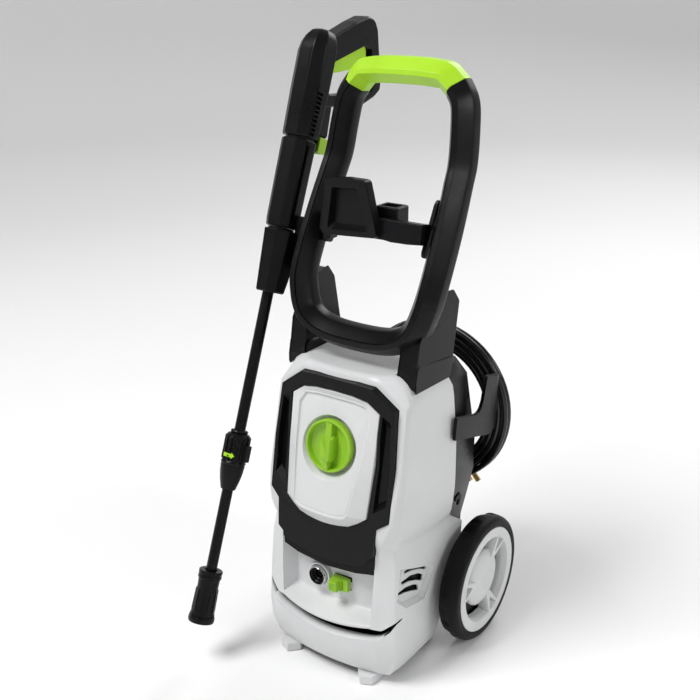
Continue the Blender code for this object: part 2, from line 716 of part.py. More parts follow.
def make_axle():
    """The wheel axle with a push-on clip outside each wheel hub."""
    rod("axle", STEEL, 6.0, (-148, *WHEEL_AXLE), (148, *WHEEL_AXLE), sides=16)
    make_wheel(1, "wheel_right")
    make_wheel(-1, "wheel_left")


def make_feet():
    """The base plate that closes the casing, and the two front feet."""
    plate = [(-90, 124), (-98, 70), (-92, 22), (-76, 6), (-40, -3), (0, -5), (40, -3),
             (76, 6), (92, 22), (98, 70), (90, 124)]
    extruded("base_plate", BLACK, plate, 14.5, 18, "Z")
    for side, name in ((1, "front_foot_right"), (-1, "front_foot_left")):
        points = [(52, -4), (66, -19), (82, -12), (86, 26), (60, 26)]
        outline = [(side * x, y) for x, y in points]
        low = [(x, y, 0.0) for x, y in outline]
        high = [(x * 1.02, y + (2 if y < 0 else 0), 11.5) for x, y in outline]
        loft(name, WHITE, [low, high])


# ---------------------------------------------------------------- gun, lance and cradle
def gun_section(s, half_x, front, back):
    """An octagonal cross-section of the gun at a height along its axis."""
    cut_x, cut_y = half_x * 0.45, (front + back) * 0.24
    return [(half_x, cut_y - front, s), (half_x, back - cut_y, s), (cut_x, back, s),
            (-cut_x, back, s), (-half_x, back - cut_y, s), (-half_x, cut_y - front, s),
            (-cut_x, -front, s), (cut_x, -front, s)]


GRIP_OUT = [(10, 872), (60, 911), (89, 931), (106, 931), (118, 921), (155, 849), (157, 837),
            (146, 824), (122, 806), (18, 772)]
GRIP_IN = [(26, 842), (100, 892), (111, 888), (139, 838), (131, 826), (26, 792)]
GRIP_SLOT = [(22, 836), (108, 894), (96, 913), (10, 856)]
TRIGGER_AXIS = (0.0, 19.0, 836.0)       # trigger pivot in the gun's frame


def make_gun():
    """The spray gun's body, grip loop, front sleeve, hose socket and connector."""
    body = loft("gun_body", BLACK,
                [gun_section(722.5, 23.5, 23.5, 23.5), gun_section(790, 25, 25, 26),
                 gun_section(845, 25, 26, 26), gun_section(866, 22, 20, 24),
                 gun_section(879, 12, 8, 20)], gun_frame)
    loop = extruded("grip_loop", None, GRIP_OUT, -15, 15, "X", gun_frame, cutter=True)
    web = extruded("hose_web", None, [(10, 796), (42, 796), (48, 734), (14, 734)], -13, 13,
                   "X", gun_frame, cutter=True)
    join(body, loop, web)
    cut(body, extruded("grip_hole", None, GRIP_IN, -30, 30, "X", gun_frame, cutter=True))
    cut(body, extruded("trigger_slot", None, GRIP_SLOT, -9.5, 9.5, "X", gun_frame,
                       cutter=True))
    cut(body, box("trigger_pocket", None, (-9.5, 11, 824), (9.5, 30, 848), gun_frame,
                  cutter=True))
    pivot = Vector(TRIGGER_AXIS)
    side = Vector((13.5, 0.0, 0.0))
    cut(body, rod("pin_bore", None, 2.9, pivot - side, pivot + side, gun_frame, sides=16,
                  cutter=True))
    loft("gun_sleeve", BLACK,
         [gun_section(592, 21, 21, 21), gun_section(604, 22, 22, 22),
          gun_section(722, 23.2, 23.2, 23.2)], gun_frame)
    turned("hose_socket", BLACK, [(6.0, 733.5), (9.5, 733.5), (9.5, 712), (6.0, 712)],
           gun_frame, at=(0, 35, 0), steps=16, ring=True)
    catch = box("hose_release", GREEN, (-8, 45.2, 711), (14, 52.5, 733), gun_frame)
    join(catch, box("release_cheek", None, (10.2, 30, 711), (14, 50, 733), gun_frame,
                    cutter=True))
    turned("lance_connector", BLACK,
           [(9.4, 591.5), (17.5, 591.5), (17.5, 560), (15.5, 556), (12, 506), (9.4, 506)],
           gun_frame, steps=20, ring=True)


def make_trigger():
    """The trigger lever that swings up into the grip, on its cross pin."""
    pivot = empty("trigger_frame", TRIGGER_AXIS, parent=gun_frame)
    outline = [(15, 831), (15, 841), (26, 841), (99, 888.5), (105.5, 883.5), (110, 872),
               (107.5, 862.5), (100, 857), (66, 841), (31, 826), (24, 828)]
    blade = [(y - TRIGGER_AXIS[1], s - TRIGGER_AXIS[2]) for y, s in outline]
    trigger = extruded("gun_trigger", GREEN, blade, -8.5, 8.5, "X", pivot)
    cut(trigger, rod("trigger_bore", None, 2.9, (-12, 0, 0), (12, 0, 0), pivot, sides=16,
                     cutter=True))
    rod("trigger_pin", STEEL, 2.5, (-13, 0, 0), (13, 0, 0), pivot, sides=12)


def make_lance():
    """The two-piece lance with its ribbed coupling and the turning nozzle sleeve."""
    turned("lance_tube_upper", BLACK, [(0, 570), (8.2, 570), (8.2, 290), (0, 290)],
           gun_frame, steps=20)
    coupling = turned("lance_coupling", BLACK,
                      [(0, 289.6), (14, 289.6), (19, 284), (19, 244), (17.5, 240), (17.5, 232),
                       (10, 204), (0, 204)], gun_frame, steps=24)
    tab = box("coupling_tab", None, (15, -5, 250), (24, 5, 274), gun_frame, cutter=True)
    join(coupling, tab)
    turned("lance_tube_lower", BLACK, [(0, 203.6), (8.0, 203.6), (8.0, 78), (5, 74), (5, 30),
                                       (0, 30)], gun_frame, steps=20)
    turned("nozzle_sleeve", BLACK,
           [(8.6, 83), (16.5, 83), (17.5, 80), (17.5, 73), (16, 69), (15.8, 40), (18.5, 14),
            (19.5, 10), (18.8, 5), (13.5, 5), (11, 22), (8.6, 68)], gun_frame, steps=28,
           ring=True)


def make_cradle():
    """The open cup on the left arm that the gun's connector drops into."""
    cup = loft("lance_cradle", BLACK,
               [gun_section(498, 20, 18, 20), gun_section(520, 22, 20, 24),
                gun_section(588, 27, 26, 30)], gun_frame)
    bore = rod("cradle_bore", None, 16, (0, 0, 490), (0, 0, 560), gun_frame, top=18.6,
               cutter=True)
    top = rod("cradle_throat", None, 18.6, (0, 0, 559), (0, 0, 600), gun_frame, top=18.6,
              cutter=True)
    mouth = box("cradle_mouth", None, (-40, -40, 480), (-9, 9, 600), gun_frame, cutter=True)
    arm = extruded("cradle_arm", None, [(96, 560), (138, 548), (160, 618), (116, 632)],
                   -137.5, -123.6, "X", cutter=True)
    join(cup, arm)
    cut(cup, bore, top, mouth)


def make_rear_clip():
    """The small cord clip low on the rear casing's right side."""
    extruded("cord_clip", BLACK, [(158, 236), (172, 240), (178, 232), (171, 220), (166, 221),
                                  (170, 231), (160, 229)], 110.0, 113.5, "X")


make_bezel()
make_panel()
make_seat()
make_tray()
make_outlet()
make_knob()
make_switch()
make_handle()
make_grip()
make_holder()
make_hooks()
make_cord()
make_plug()
make_motor()
make_pump()
make_axle()
make_feet()
make_gun()
make_trigger()
make_lance()
make_cradle()
make_rear_clip()
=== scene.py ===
"""Looks of the upright pressure washer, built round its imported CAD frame."""
import json
import math

import bmesh
import bpy
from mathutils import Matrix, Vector


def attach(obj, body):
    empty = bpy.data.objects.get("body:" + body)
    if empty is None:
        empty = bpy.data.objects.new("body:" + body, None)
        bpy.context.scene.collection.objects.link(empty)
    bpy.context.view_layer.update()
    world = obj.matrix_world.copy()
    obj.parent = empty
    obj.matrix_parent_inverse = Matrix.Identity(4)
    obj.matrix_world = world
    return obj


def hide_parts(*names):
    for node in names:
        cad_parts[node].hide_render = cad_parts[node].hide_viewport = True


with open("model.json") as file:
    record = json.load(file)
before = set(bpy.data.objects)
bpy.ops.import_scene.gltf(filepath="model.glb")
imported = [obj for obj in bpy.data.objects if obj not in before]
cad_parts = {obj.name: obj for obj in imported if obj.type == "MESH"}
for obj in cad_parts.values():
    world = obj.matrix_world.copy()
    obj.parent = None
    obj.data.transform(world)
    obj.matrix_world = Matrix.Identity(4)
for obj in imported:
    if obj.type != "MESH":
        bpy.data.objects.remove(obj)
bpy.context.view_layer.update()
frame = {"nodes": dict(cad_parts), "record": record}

MM = 0.001
PLANE_X, KNOB_Y = 14.5, -112.1          # the machine's own zero in the part's frame
LEAN = math.radians(21.0)
LANCE_FOOT = (-160.0, -104.5, 60.0)
TILT = math.radians(9.0)
OUTLET = (-20.0, 141.0)                 # middle of the high-pressure outlet, x and z
NODES = frame["nodes"]


# ------------------------------------------------------------------ places
def at(x, y, z):
    """A point of the machine, in millimetres from its symmetry plane, knob and floor."""
    return Vector(((x + PLANE_X) * MM, (y + KNOB_Y) * MM, z * MM))


def on_gun(x, y, s):
    """A point in the gun's frame: y to the back, s up its axis from the nozzle."""
    fx, fy, fz = LANCE_FOOT
    sin, cos = math.sin(LEAN), math.cos(LEAN)
    return at(fx + x, fy + y * cos + s * sin, fz - y * sin + s * cos)


def on_knob(x, y, z):
    """A point in the knob's frame: y up the panel, z out of it."""
    sin, cos = math.sin(TILT), math.cos(TILT)
    return at(x, 2.0 + y * sin - z * cos, 351.9 + y * cos + z * sin)


def on_wheel(side):
    """The wheel frame of one side: x and y in its plane, z outward along the axle."""
    return lambda x, y, z: at(side * z, 189.8 + x, 97.4 + y)


# ------------------------------------------------------------------ camera
def look_from(azimuth, elevation, spot, lens):
    camera = bpy.data.objects.new("camera", bpy.data.cameras.new("camera"))
    camera.data.lens = lens
    camera.data.sensor_width = 36.0
    camera.location = spot
    camera.rotation_euler = (math.radians(90.0 - elevation), 0.0, math.radians(azimuth))
    camera.data.clip_end = 60.0
    bpy.context.scene.collection.objects.link(camera)
    bpy.context.scene.camera = camera


look_from(34.82, 20.30, at(744.7, -1019.7, 958.4), 52.57)


# ------------------------------------------------------------------ materials
def link(tree, a, b):
    tree.links.new(a, b)


def moulded(name, dark, light, rough, grain=0.10, size=900.0, spread=0.06, wear=None,
            metallic=0.0, coat=0.0, brushed=False, cloud=14.0, gloss=0.5):
    """A moulded plastic, rubber or metal: cloudy tone, fine grain, worn edges."""
    made = bpy.data.materials.new(name)
    made.use_nodes = True
    tree = made.node_tree
    shader = tree.nodes["Principled BSDF"]
    shader.inputs["Metallic"].default_value = metallic
    shader.inputs["Coat Weight"].default_value = coat
    shader.inputs["Specular IOR Level"].default_value = gloss
    spot = tree.nodes.new("ShaderNodeTexCoord")
    mapping = tree.nodes.new("ShaderNodeMapping")
    mapping.inputs["Scale"].default_value = (1.0, 1.0, 0.05) if brushed else (1.0, 1.0, 1.0)
    link(tree, spot.outputs["Object"], mapping.inputs["Vector"])
    clouds = tree.nodes.new("ShaderNodeTexNoise")
    clouds.inputs["Scale"].default_value = cloud
    clouds.inputs["Detail"].default_value = 3.0
    link(tree, mapping.outputs["Vector"], clouds.inputs["Vector"])
    tone = tree.nodes.new("ShaderNodeValToRGB")
    tone.color_ramp.elements[0].position = 0.3
    tone.color_ramp.elements[1].position = 0.72
    tone.color_ramp.elements[0].color = (*dark, 1.0)
    tone.color_ramp.elements[1].color = (*light, 1.0)
    link(tree, clouds.outputs["Fac"], tone.inputs["Fac"])
    colour = tone.outputs["Color"]
    if wear:
        edge = tree.nodes.new("ShaderNodeNewGeometry")
        worn = tree.nodes.new("ShaderNodeValToRGB")
        worn.color_ramp.elements[0].position = 0.53
        worn.color_ramp.elements[1].position = 0.62
        link(tree, edge.outputs["Pointiness"], worn.inputs["Fac"])
        mix = tree.nodes.new("ShaderNodeMix")
        mix.data_type = "RGBA"
        mix.inputs["B"].default_value = (*wear, 1.0)
        link(tree, worn.outputs["Color"], mix.inputs["Factor"])
        link(tree, colour, mix.inputs["A"])
        colour = mix.outputs["Result"]
    link(tree, colour, shader.inputs["Base Color"])
    fine = tree.nodes.new("ShaderNodeTexNoise")
    fine.inputs["Scale"].default_value = size
    fine.inputs["Detail"].default_value = 2.0
    link(tree, mapping.outputs["Vector"], fine.inputs["Vector"])
    polish = tree.nodes.new("ShaderNodeMapRange")
    polish.inputs["From Min"].default_value = 0.3
    polish.inputs["From Max"].default_value = 0.7
    polish.inputs["To Min"].default_value = rough - spread
    polish.inputs["To Max"].default_value = rough + spread
    link(tree, clouds.outputs["Fac"], polish.inputs["Value"])
    link(tree, polish.outputs["Result"], shader.inputs["Roughness"])
    bump = tree.nodes.new("ShaderNodeBump")
    bump.inputs["Strength"].default_value = grain
    bump.inputs["Distance"].default_value = 0.0004
    link(tree, fine.outputs["Fac"], bump.inputs["Height"])
    link(tree, bump.outputs["Normal"], shader.inputs["Normal"])
    return made


WHITE = moulded("white_casing", (0.64, 0.645, 0.65), (0.685, 0.69, 0.695), 0.40, grain=0.10)
BLACK = moulded("black_satin", (0.0035, 0.0035, 0.004), (0.0055, 0.0055, 0.0065), 0.32,
                grain=0.18, size=1300.0, gloss=0.17)
# A deeper black for glossy parts; also the colour of the sheets that stand in as painted shade
# behind the louvres, under the sill and in the wheels.
DEEP = moulded("black_gloss_and_shade_sheets", (0.002, 0.002, 0.0022), (0.0035, 0.0035, 0.004), 0.30,
               grain=0.08, gloss=0.18)
LIME = moulded("lime_plastic", (0.375, 0.68, 0.012), (0.43, 0.76, 0.022), 0.42, grain=0.12)
LEAF = moulded("lime_knob", (0.25, 0.48, 0.016), (0.29, 0.55, 0.022), 0.36, grain=0.08)
TYRE = moulded("tyre_rubber", (0.003, 0.003, 0.0033), (0.005, 0.005, 0.0055), 0.50,
               grain=0.35, size=700.0, gloss=0.14)
CABLE = moulded("cable_sheath", (0.005, 0.005, 0.006), (0.009, 0.009, 0.010), 0.17,
                grain=0.04, size=600.0, spread=0.03, coat=0.2, gloss=0.35)
CHROME = moulded("chrome", (0.60, 0.60, 0.62), (0.80, 0.80, 0.82), 0.16, metallic=1.0)
ZINC = moulded("zinc_steel", (0.46, 0.47, 0.48), (0.60, 0.60, 0.62), 0.34, metallic=1.0,
               brushed=True)
BRASS = moulded("brass", (0.62, 0.44, 0.16), (0.78, 0.58, 0.26), 0.30, metallic=1.0,
                brushed=True)
ALLOY = moulded("cast_alloy", (0.42, 0.43, 0.44), (0.56, 0.56, 0.58), 0.52, metallic=1.0,
                grain=0.5, size=450.0)
LAMINATE = moulded("laminations", (0.16, 0.14, 0.13), (0.28, 0.26, 0.25), 0.50, metallic=0.8,
                   brushed=True)
LOOKS = {
    "white_casing": WHITE, "black_plastic": BLACK, "lime_plastic": LIME, "tyre_rubber": TYRE,
    "cable_pvc": CABLE, "chrome_ring": CHROME, "zinc_steel": ZINC, "brass_fitting": BRASS,
    "cast_alloy": ALLOY, "laminated_steel": LAMINATE,
}


# ------------------------------------------------------------------ mesh helpers
def finish_mesh(obj, width=0.0, segments=2, angle=32.0):
    """Rounded edges and even shading on a piece; width in millimetres."""
    if width:
        bevel = obj.modifiers.new("rounded_edges", "BEVEL")
        bevel.width = width * MM
        bevel.segments = segments
        bevel.limit_method = "ANGLE"
        bevel.angle_limit = math.radians(angle)
        bevel.harden_normals = False
    weighted = obj.modifiers.new("even_shading", "WEIGHTED_NORMAL")
    weighted.keep_sharp = True


def piece(name, verts, faces, look, body="body", slot="black_plastic", stands_for=(),
          width=0.0, segments=2, sharp=34.0, parts=()):
    """A finished piece from points and faces, riding on a body."""
    bm = bmesh.new()
    made = [bm.verts.new(v) for v in verts]
    for face in faces:
        try:
            bm.faces.new([made[i] for i in face])
        except ValueError:
            pass
    bmesh.ops.remove_doubles(bm, verts=bm.verts, dist=0.000005)
    bmesh.ops.recalc_face_normals(bm, faces=bm.faces)
    mesh = bpy.data.meshes.new(name)
    bm.to_mesh(mesh)
    bm.free()
    mesh.shade_smooth()
    mesh.set_sharp_from_angle(angle=math.radians(sharp))
    mesh.materials.append(look)
    obj = bpy.data.objects.new(name, mesh)
    bpy.context.scene.collection.objects.link(obj)
    for kind, tool in parts:
        carve(obj, tool, kind)
    finish_mesh(obj, width, segments)
    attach(obj, body)
    if stands_for:
        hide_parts(*stands_for)
    return obj


def carve(obj, tool, kind="DIFFERENCE"):
    """Apply a Boolean with a tool mesh given as points and faces."""
    verts, faces = tool
    mesh = bpy.data.meshes.new("tool")
    bm = bmesh.new()
    made = [bm.verts.new(v) for v in verts]
    for face in faces:
        bm.faces.new([made[i] for i in face])
    bmesh.ops.recalc_face_normals(bm, faces=bm.faces)
    bm.to_mesh(mesh)
    bm.free()
    helper = bpy.data.objects.new("tool", mesh)
    bpy.context.scene.collection.objects.link(helper)
    step = obj.modifiers.new("shape", "BOOLEAN")
    step.operation = kind
    step.object = helper
    bpy.context.view_layer.update()
    graph = bpy.context.evaluated_depsgraph_get()
    shaped = bpy.data.meshes.new_from_object(obj.evaluated_get(graph))
    obj.modifiers.clear()
    old = obj.data
    obj.data = shaped
    shaped.name = obj.name
    bpy.data.meshes.remove(old)
    bpy.data.objects.remove(helper, do_unlink=True)
    bpy.data.meshes.remove(mesh)
    obj.data.shade_smooth()
    obj.data.set_sharp_from_angle(angle=math.radians(30.0))


def skin(loops, closed=False, caps=True):
    """Points and faces that join matching loops in order."""
    count = len(loops[0])
    verts = [point for loop in loops for point in loop]
    faces = []
    rows = len(loops)
    for k in range(rows if closed else rows - 1):
        a, b = k * count, ((k + 1) % rows) * count
        for i in range(count):
            j = (i + 1) % count
            faces.append((a + i, a + j, b + j, b + i))
    if caps and not closed:
        faces.append(tuple(range(count))[::-1])
        faces.append(tuple(range((rows - 1) * count, rows * count)))
    return verts, faces


def prism(outline, low, high, place):
    """An outline pushed from low to high; place(a, b, depth) puts a corner."""
    return skin([[place(a, b, low) for a, b in outline],
                 [place(a, b, high) for a, b in outline]])


def along_x(a, b, depth):
    return at(depth, a, b)


def along_y(a, b, depth):
    return at(a, depth, b)


def along_z(a, b, depth):
    return at(a, b, depth)


def gun_x(a, b, depth):
    return on_gun(depth, a, b)


def lathe(profile, place, steps=48, closed=False, centre=(0.0, 0.0)):
    """A profile of (radius, height) turned about a frame's third axis."""
    cx, cy = centre
    loops = []
    for radius, height in profile:
        loops.append([place(cx + radius * math.cos(2 * math.pi * i / steps),
                            cy + radius * math.sin(2 * math.pi * i / steps), height)
                      for i in range(steps)])
    return skin(loops, closed=closed)


def block(low, high, place=at):
    """A box between two corners of a frame."""
    xs, ys, zs = zip(low, high)
    ring = [(xs[0], ys[0]), (xs[1], ys[0]), (xs[1], ys[1]), (xs[0], ys[1])]
    return skin([[place(x, y, zs[0]) for x, y in ring], [place(x, y, zs[1]) for x, y in ring]])


def merged(*shapes):
    """Several shapes as one list of points and faces."""
    verts, faces = [], []
    for more_verts, more_faces in shapes:
        start = len(verts)
        verts += list(more_verts)
        faces += [tuple(i + start for i in face) for face in more_faces]
    return verts, faces


def rounded(outline, radius, steps=4):
    """A closed outline with its corners rounded; radius is one number or one each."""
    count = len(outline)
    radii = radius if isinstance(radius, (list, tuple)) else [radius] * count
    result = []
    for i, corner in enumerate(outline):
        corner = Vector(corner)
        before = Vector(outline[i - 1]) - corner
        after = Vector(outline[(i + 1) % count]) - corner
        turn = before.angle(after, math.pi)
        reach = min(radii[i] / max(math.tan(turn / 2.0), 0.05), before.length * 0.45,
                    after.length * 0.45)
        if radii[i] <= 0.0 or reach < 0.05:
            result.append(tuple(corner))
            continue
        a = corner + before.normalized() * reach
        b = corner + after.normalized() * reach
        for k in range(steps + 1):
            t = k / steps
            result.append(tuple(a * (1 - t) ** 2 + corner * 2 * t * (1 - t) + b * t ** 2))
    return result


def through(knots, count):
    """Points evenly numbered on a Catmull-Rom curve through the knots."""
    ends = [Vector(knots[0]) * 2 - Vector(knots[1])]
    ends += [Vector(knot) for knot in knots]
    ends.append(Vector(knots[-1]) * 2 - Vector(knots[-2]))
    points = []
    for a, b, c, d in zip(ends, ends[1:], ends[2:], ends[3:]):
        for i in range(count):
            t = i / count
            points.append((b * 2 + (c - a) * t + (a * 2 - b * 5 + c * 4 - d) * t ** 2
                           + (b * 3 - a - c * 3 + d) * t ** 3) / 2)
    points.append(ends[-2])
    return points


def table(rows, z):
    """Straight interpolation in rows of (height, value, value ...)."""
    for low, high in zip(rows, rows[1:]):
        if z <= high[0]:
            t = max(0.0, (z - low[0]) / (high[0] - low[0]))
            return [a + (b - a) * t for a, b in zip(low[1:], high[1:])]
    return list(rows[-1][1:])


# ------------------------------------------------------------------ mains lead
CORD_D = 9.0
COIL_AT = (0.0, 281.0, 322.0)
LEAD_IN = [(-60, 286.4, 262), (-60, 296, 261.5), (-65, 303, 256), (-78, 305, 251),
           (-93, 302.5, 256), (-105, 298, 271), (-112.5, 295.6, 292)]
LEAD_OUT = [(115, 295.6, 312), (112.5, 298, 297), (105, 304, 279), (93, 311, 259),
            (81.5, 315.8, 238), (72.5, 316, 230.5)]
SLOTS = [(115.0, 290.0), (100.3, 276.2), (109.4, 276.2), (118.6, 276.2), (129.2, 276.4),
         (129.0, 285.8), (119.6, 285.8)]


def coil_points():
    """The wound turns: each turn keeps a place in the bundle and shifts once."""
    first, last = math.radians(194.5), math.radians(-5.0 - 360.0 * 6)
    steps = 420
    x, _, z = COIL_AT
    points = []
    for k in range(1, steps):
        t = k / steps
        angle = first + (last - first) * t
        swept = math.degrees(first - angle)
        radius, depth = SLOTS[0]
        for turn in range(1, len(SLOTS)):
            t0 = 55.0 + 352.0 * (turn - 1)
            share = min(1.0, max(0.0, (swept - t0) / 60.0))
            share = share * share * (3.0 - 2.0 * share)
            radius += (SLOTS[turn][0] - SLOTS[turn - 1][0]) * share
            depth += (SLOTS[turn][1] - SLOTS[turn - 1][1]) * share
        left = (first - last) - (first - angle)
        share = max(0.0, 1.0 - left / math.radians(45.0)) ** 2
        radius += (115.4 - radius) * share
        depth += (294.6 - depth) * share
        radius += 0.5 * math.sin(swept * 0.031 + 1.0)
        points.append(at(x + radius * math.cos(angle), depth, z + radius * math.sin(angle)))
    return points


def make_lead():
    """The whole mains lead as one curve: its tail from the gland, the coil and its other tail."""
    tail = [at(*p) for p in through(LEAD_IN, 5)]
    end = [at(*p) for p in through(LEAD_OUT, 6)]
    points = tail + coil_points() + end
    curve = bpy.data.curves.new("mains_lead", "CURVE")
    curve.dimensions = "3D"
    curve.bevel_depth = CORD_D / 2.0 * MM
    curve.bevel_resolution = 4
    curve.use_fill_caps = True
    line = curve.splines.new("POLY")
    line.points.add(len(points) - 1)
    for spot, point in zip(line.points, points):
        spot.co = (*point, 1.0)
    line.use_smooth = True
    curve.materials.append(CABLE)
    lead = bpy.data.objects.new("mains_lead", curve)
    bpy.context.scene.collection.objects.link(lead)
    length = sum((b - a).length for a, b in zip(points, points[1:]))
    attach(lead, "body")
    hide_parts("cable_coil", "cable_lead_in", "cable_lead_out")
    return lead, length


LEAD, LEAD_LENGTH = make_lead()


def make_plug():
    """The moulded plug with its flat faces, grip ribs and neck."""
    tilt = math.radians(50.0)
    sin, cos = math.sin(tilt), math.cos(tilt)

    def place(x, y, z):
        return at(45.7 + x * cos + z * sin, 316.0 + y, 208.0 - x * sin + z * cos)

    outline = rounded([(-24, -27), (24, -27), (24, 4), (14, 20), (-14, 20), (-24, 4)], 6.0, 5)
    loops = []
    for depth, shrink in ((-11, 0.90), (-9.5, 0.97), (-6, 1.0), (6, 1.0), (9.8, 0.99),
                          (11, 0.95)):
        loops.append([place(depth, a * shrink, b * shrink) for a, b in outline])
    shell = skin(loops)
    neck = lathe([(8.6, 17), (8.2, 19), (7.0, 21), (7.6, 22), (7.6, 24), (6.6, 25), (7.0, 26),
                  (7.0, 28), (6.0, 29), (6.4, 30), (6.2, 32.5), (5.4, 34)], place, 24)
    ribs = [block((-11.8, -15 + 6 * k, -14), (-10, -12.5 + 6 * k, 10), place)
            for k in range(5)]
    return piece("plug_shell", *merged(shell, neck, *ribs), DEEP, "body", "black_plastic",
                 ["plug_body"], width=0.5)


PLUG = make_plug()


# ------------------------------------------------------------------ white casing
# Height, then the front's centre depth, its shoulder, corner and side (x, y).
FRONT_LEVELS = [
    (12, -9, (80, -1), (100, 6), (104, 62)),
    (40, -23.5, (88, -10.5), (109.5, 1.5), (110.5, 62)),
    (68, -25.5, (90, -12.5), (112.5, 1.5), (113.5, 62)),
    (80, -24, (88, -12), (112.3, 2), (113.3, 62)),
    (98, -22, (83, -9), (111.5, 2), (112.5, 62)),
    (143, -17, (83, -7), (110.4, 4), (112.2, 62)),
    (186, -11, (85, -4), (108.2, 7), (110.4, 62)),
    (205, -12, (86, -3.6), (105.0, 8.6), (106.4, 62)),
    (218, -13.4, (87, -3.4), (102.6, 9.8), (103.8, 62)),
    (223, -14.2, (89, -4.2), (103.6, 9.2), (105.0, 62)),
    (229, -15.6, (92, -5.6), (107.6, 7.6), (109.6, 62)),
    (237, -15.9, (94, -5.6), (110.6, 7.0), (112.6, 62)),
    (247, -15.0, (98, -4.4), (111.9, 7.6), (113.8, 62)),
    (262, -13, (104, -2), (112.5, 9), (114.4, 62)),
    (290, -8, (106, 3), (112.5, 13), (114, 62)),
    (330, 0, (106.5, 13), (111.3, 20), (113, 62)),
    (400, 12, (105.5, 27), (107.5, 33), (108, 66)),
    (416, 15, (104, 31), (106, 36), (106.8, 66)),
    (424, 16.5, (96, 31), (103.5, 38), (105, 67)),
    (446, 20.5, (67, 29), (88, 42), (98, 70)),
    (452, 23, (61, 31), (82, 46), (93, 73)),
    (456.6, 30, (58, 36), (76, 50), (88, 75)),
]
PARTING = [(12, 122), (40, 126), (66, 131), (98, 140), (143, 160), (172, 192), (186, 187),
           (214, 150), (228, 149), (250, 153), (268, 154), (330, 155), (412, 152), (431, 142),
           (447, 138), (456, 135)]
WALL = 2.6
BEZEL_OUT = [(0, 446), (34, 445.5), (59, 443), (94, 417), (100, 340), (100, 264), (83, 252),
             (81, 211), (62, 191), (30, 185), (0, 183)]
BEZEL_IN = [(0, 430), (30, 429), (53, 425), (73, 411), (72, 340), (68, 262), (56, 253),
            (42, 245), (26, 242), (12, 240.5), (0, 240)]
BEZEL_CENTRE = [(180, -12), (205, -22), (264, -16), (417, 9), (446, 13)]
LEG = [(53, 436), (53, 452), (62, 500), (70, 512), (96, 560), (128, 560), (145, 540),
       (143, 432)]


def whole(half):
    """An outline from its right half, given from the top centre to the bottom centre."""
    return half + [(-x, z) for x, z in reversed(half) if x > 0.0]


def front_depth(x, z):
    """Depth of the bowed front at a place."""
    return table(BEZEL_CENTRE, z)[0] + 0.00125 * x * x


def casing_half(z):
    """The right half of the white casing's outline at a height, from the centre to the back."""
    flat = [(row[0], row[1], *row[2], *row[3], *row[4]) for row in FRONT_LEVELS]
    cy, sx, sy, cx, corner_y, side_x, side_y = table(flat, z)
    rear = table(PARTING, z - crease_shift(200.0, z))[0] - 0.5
    nodes = [(0, cy), (sx * 0.5, cy + (sy - cy) * 0.28), (sx, sy), (cx, corner_y),
             (side_x, side_y), (side_x, rear)]
    points = [nodes[0], (sx * 0.26, cy + (sy - cy) * 0.075), nodes[1],
              (sx * 0.76, cy + (sy - cy) * 0.60)]
    for i, reach in ((2, 3.0), (3, 4.5)):
        corner, before, after = Vector(nodes[i]), Vector(nodes[i - 1]), Vector(nodes[i + 1])
        first = corner + (before - corner).normalized() * reach
        last = corner + (after - corner).normalized() * min(reach, (after - corner).length / 2)
        points += [tuple(first * (1 - t) ** 2 + corner * 2 * t * (1 - t) + last * t * t)
                   for t in (0.0, 0.33, 0.67, 1.0)]
    points += [(side_x - 0.3, (corner_y + side_y) / 2 + 4), nodes[4],
               (side_x, (side_y + rear) / 2), nodes[5]]
    return points


def crease_shift(y, z):
    """How far the crease between the upper panel and the fender drops towards the back."""
    along = min(1.0, max(0.0, (y - 15.0) / 85.0))
    near = min(1.0, max(0.0, (z - 186.0) / 26.0), max(0.0, (275.0 - z) / 40.0))
    return 15.0 * near * along * along * (3.0 - 2.0 * along)


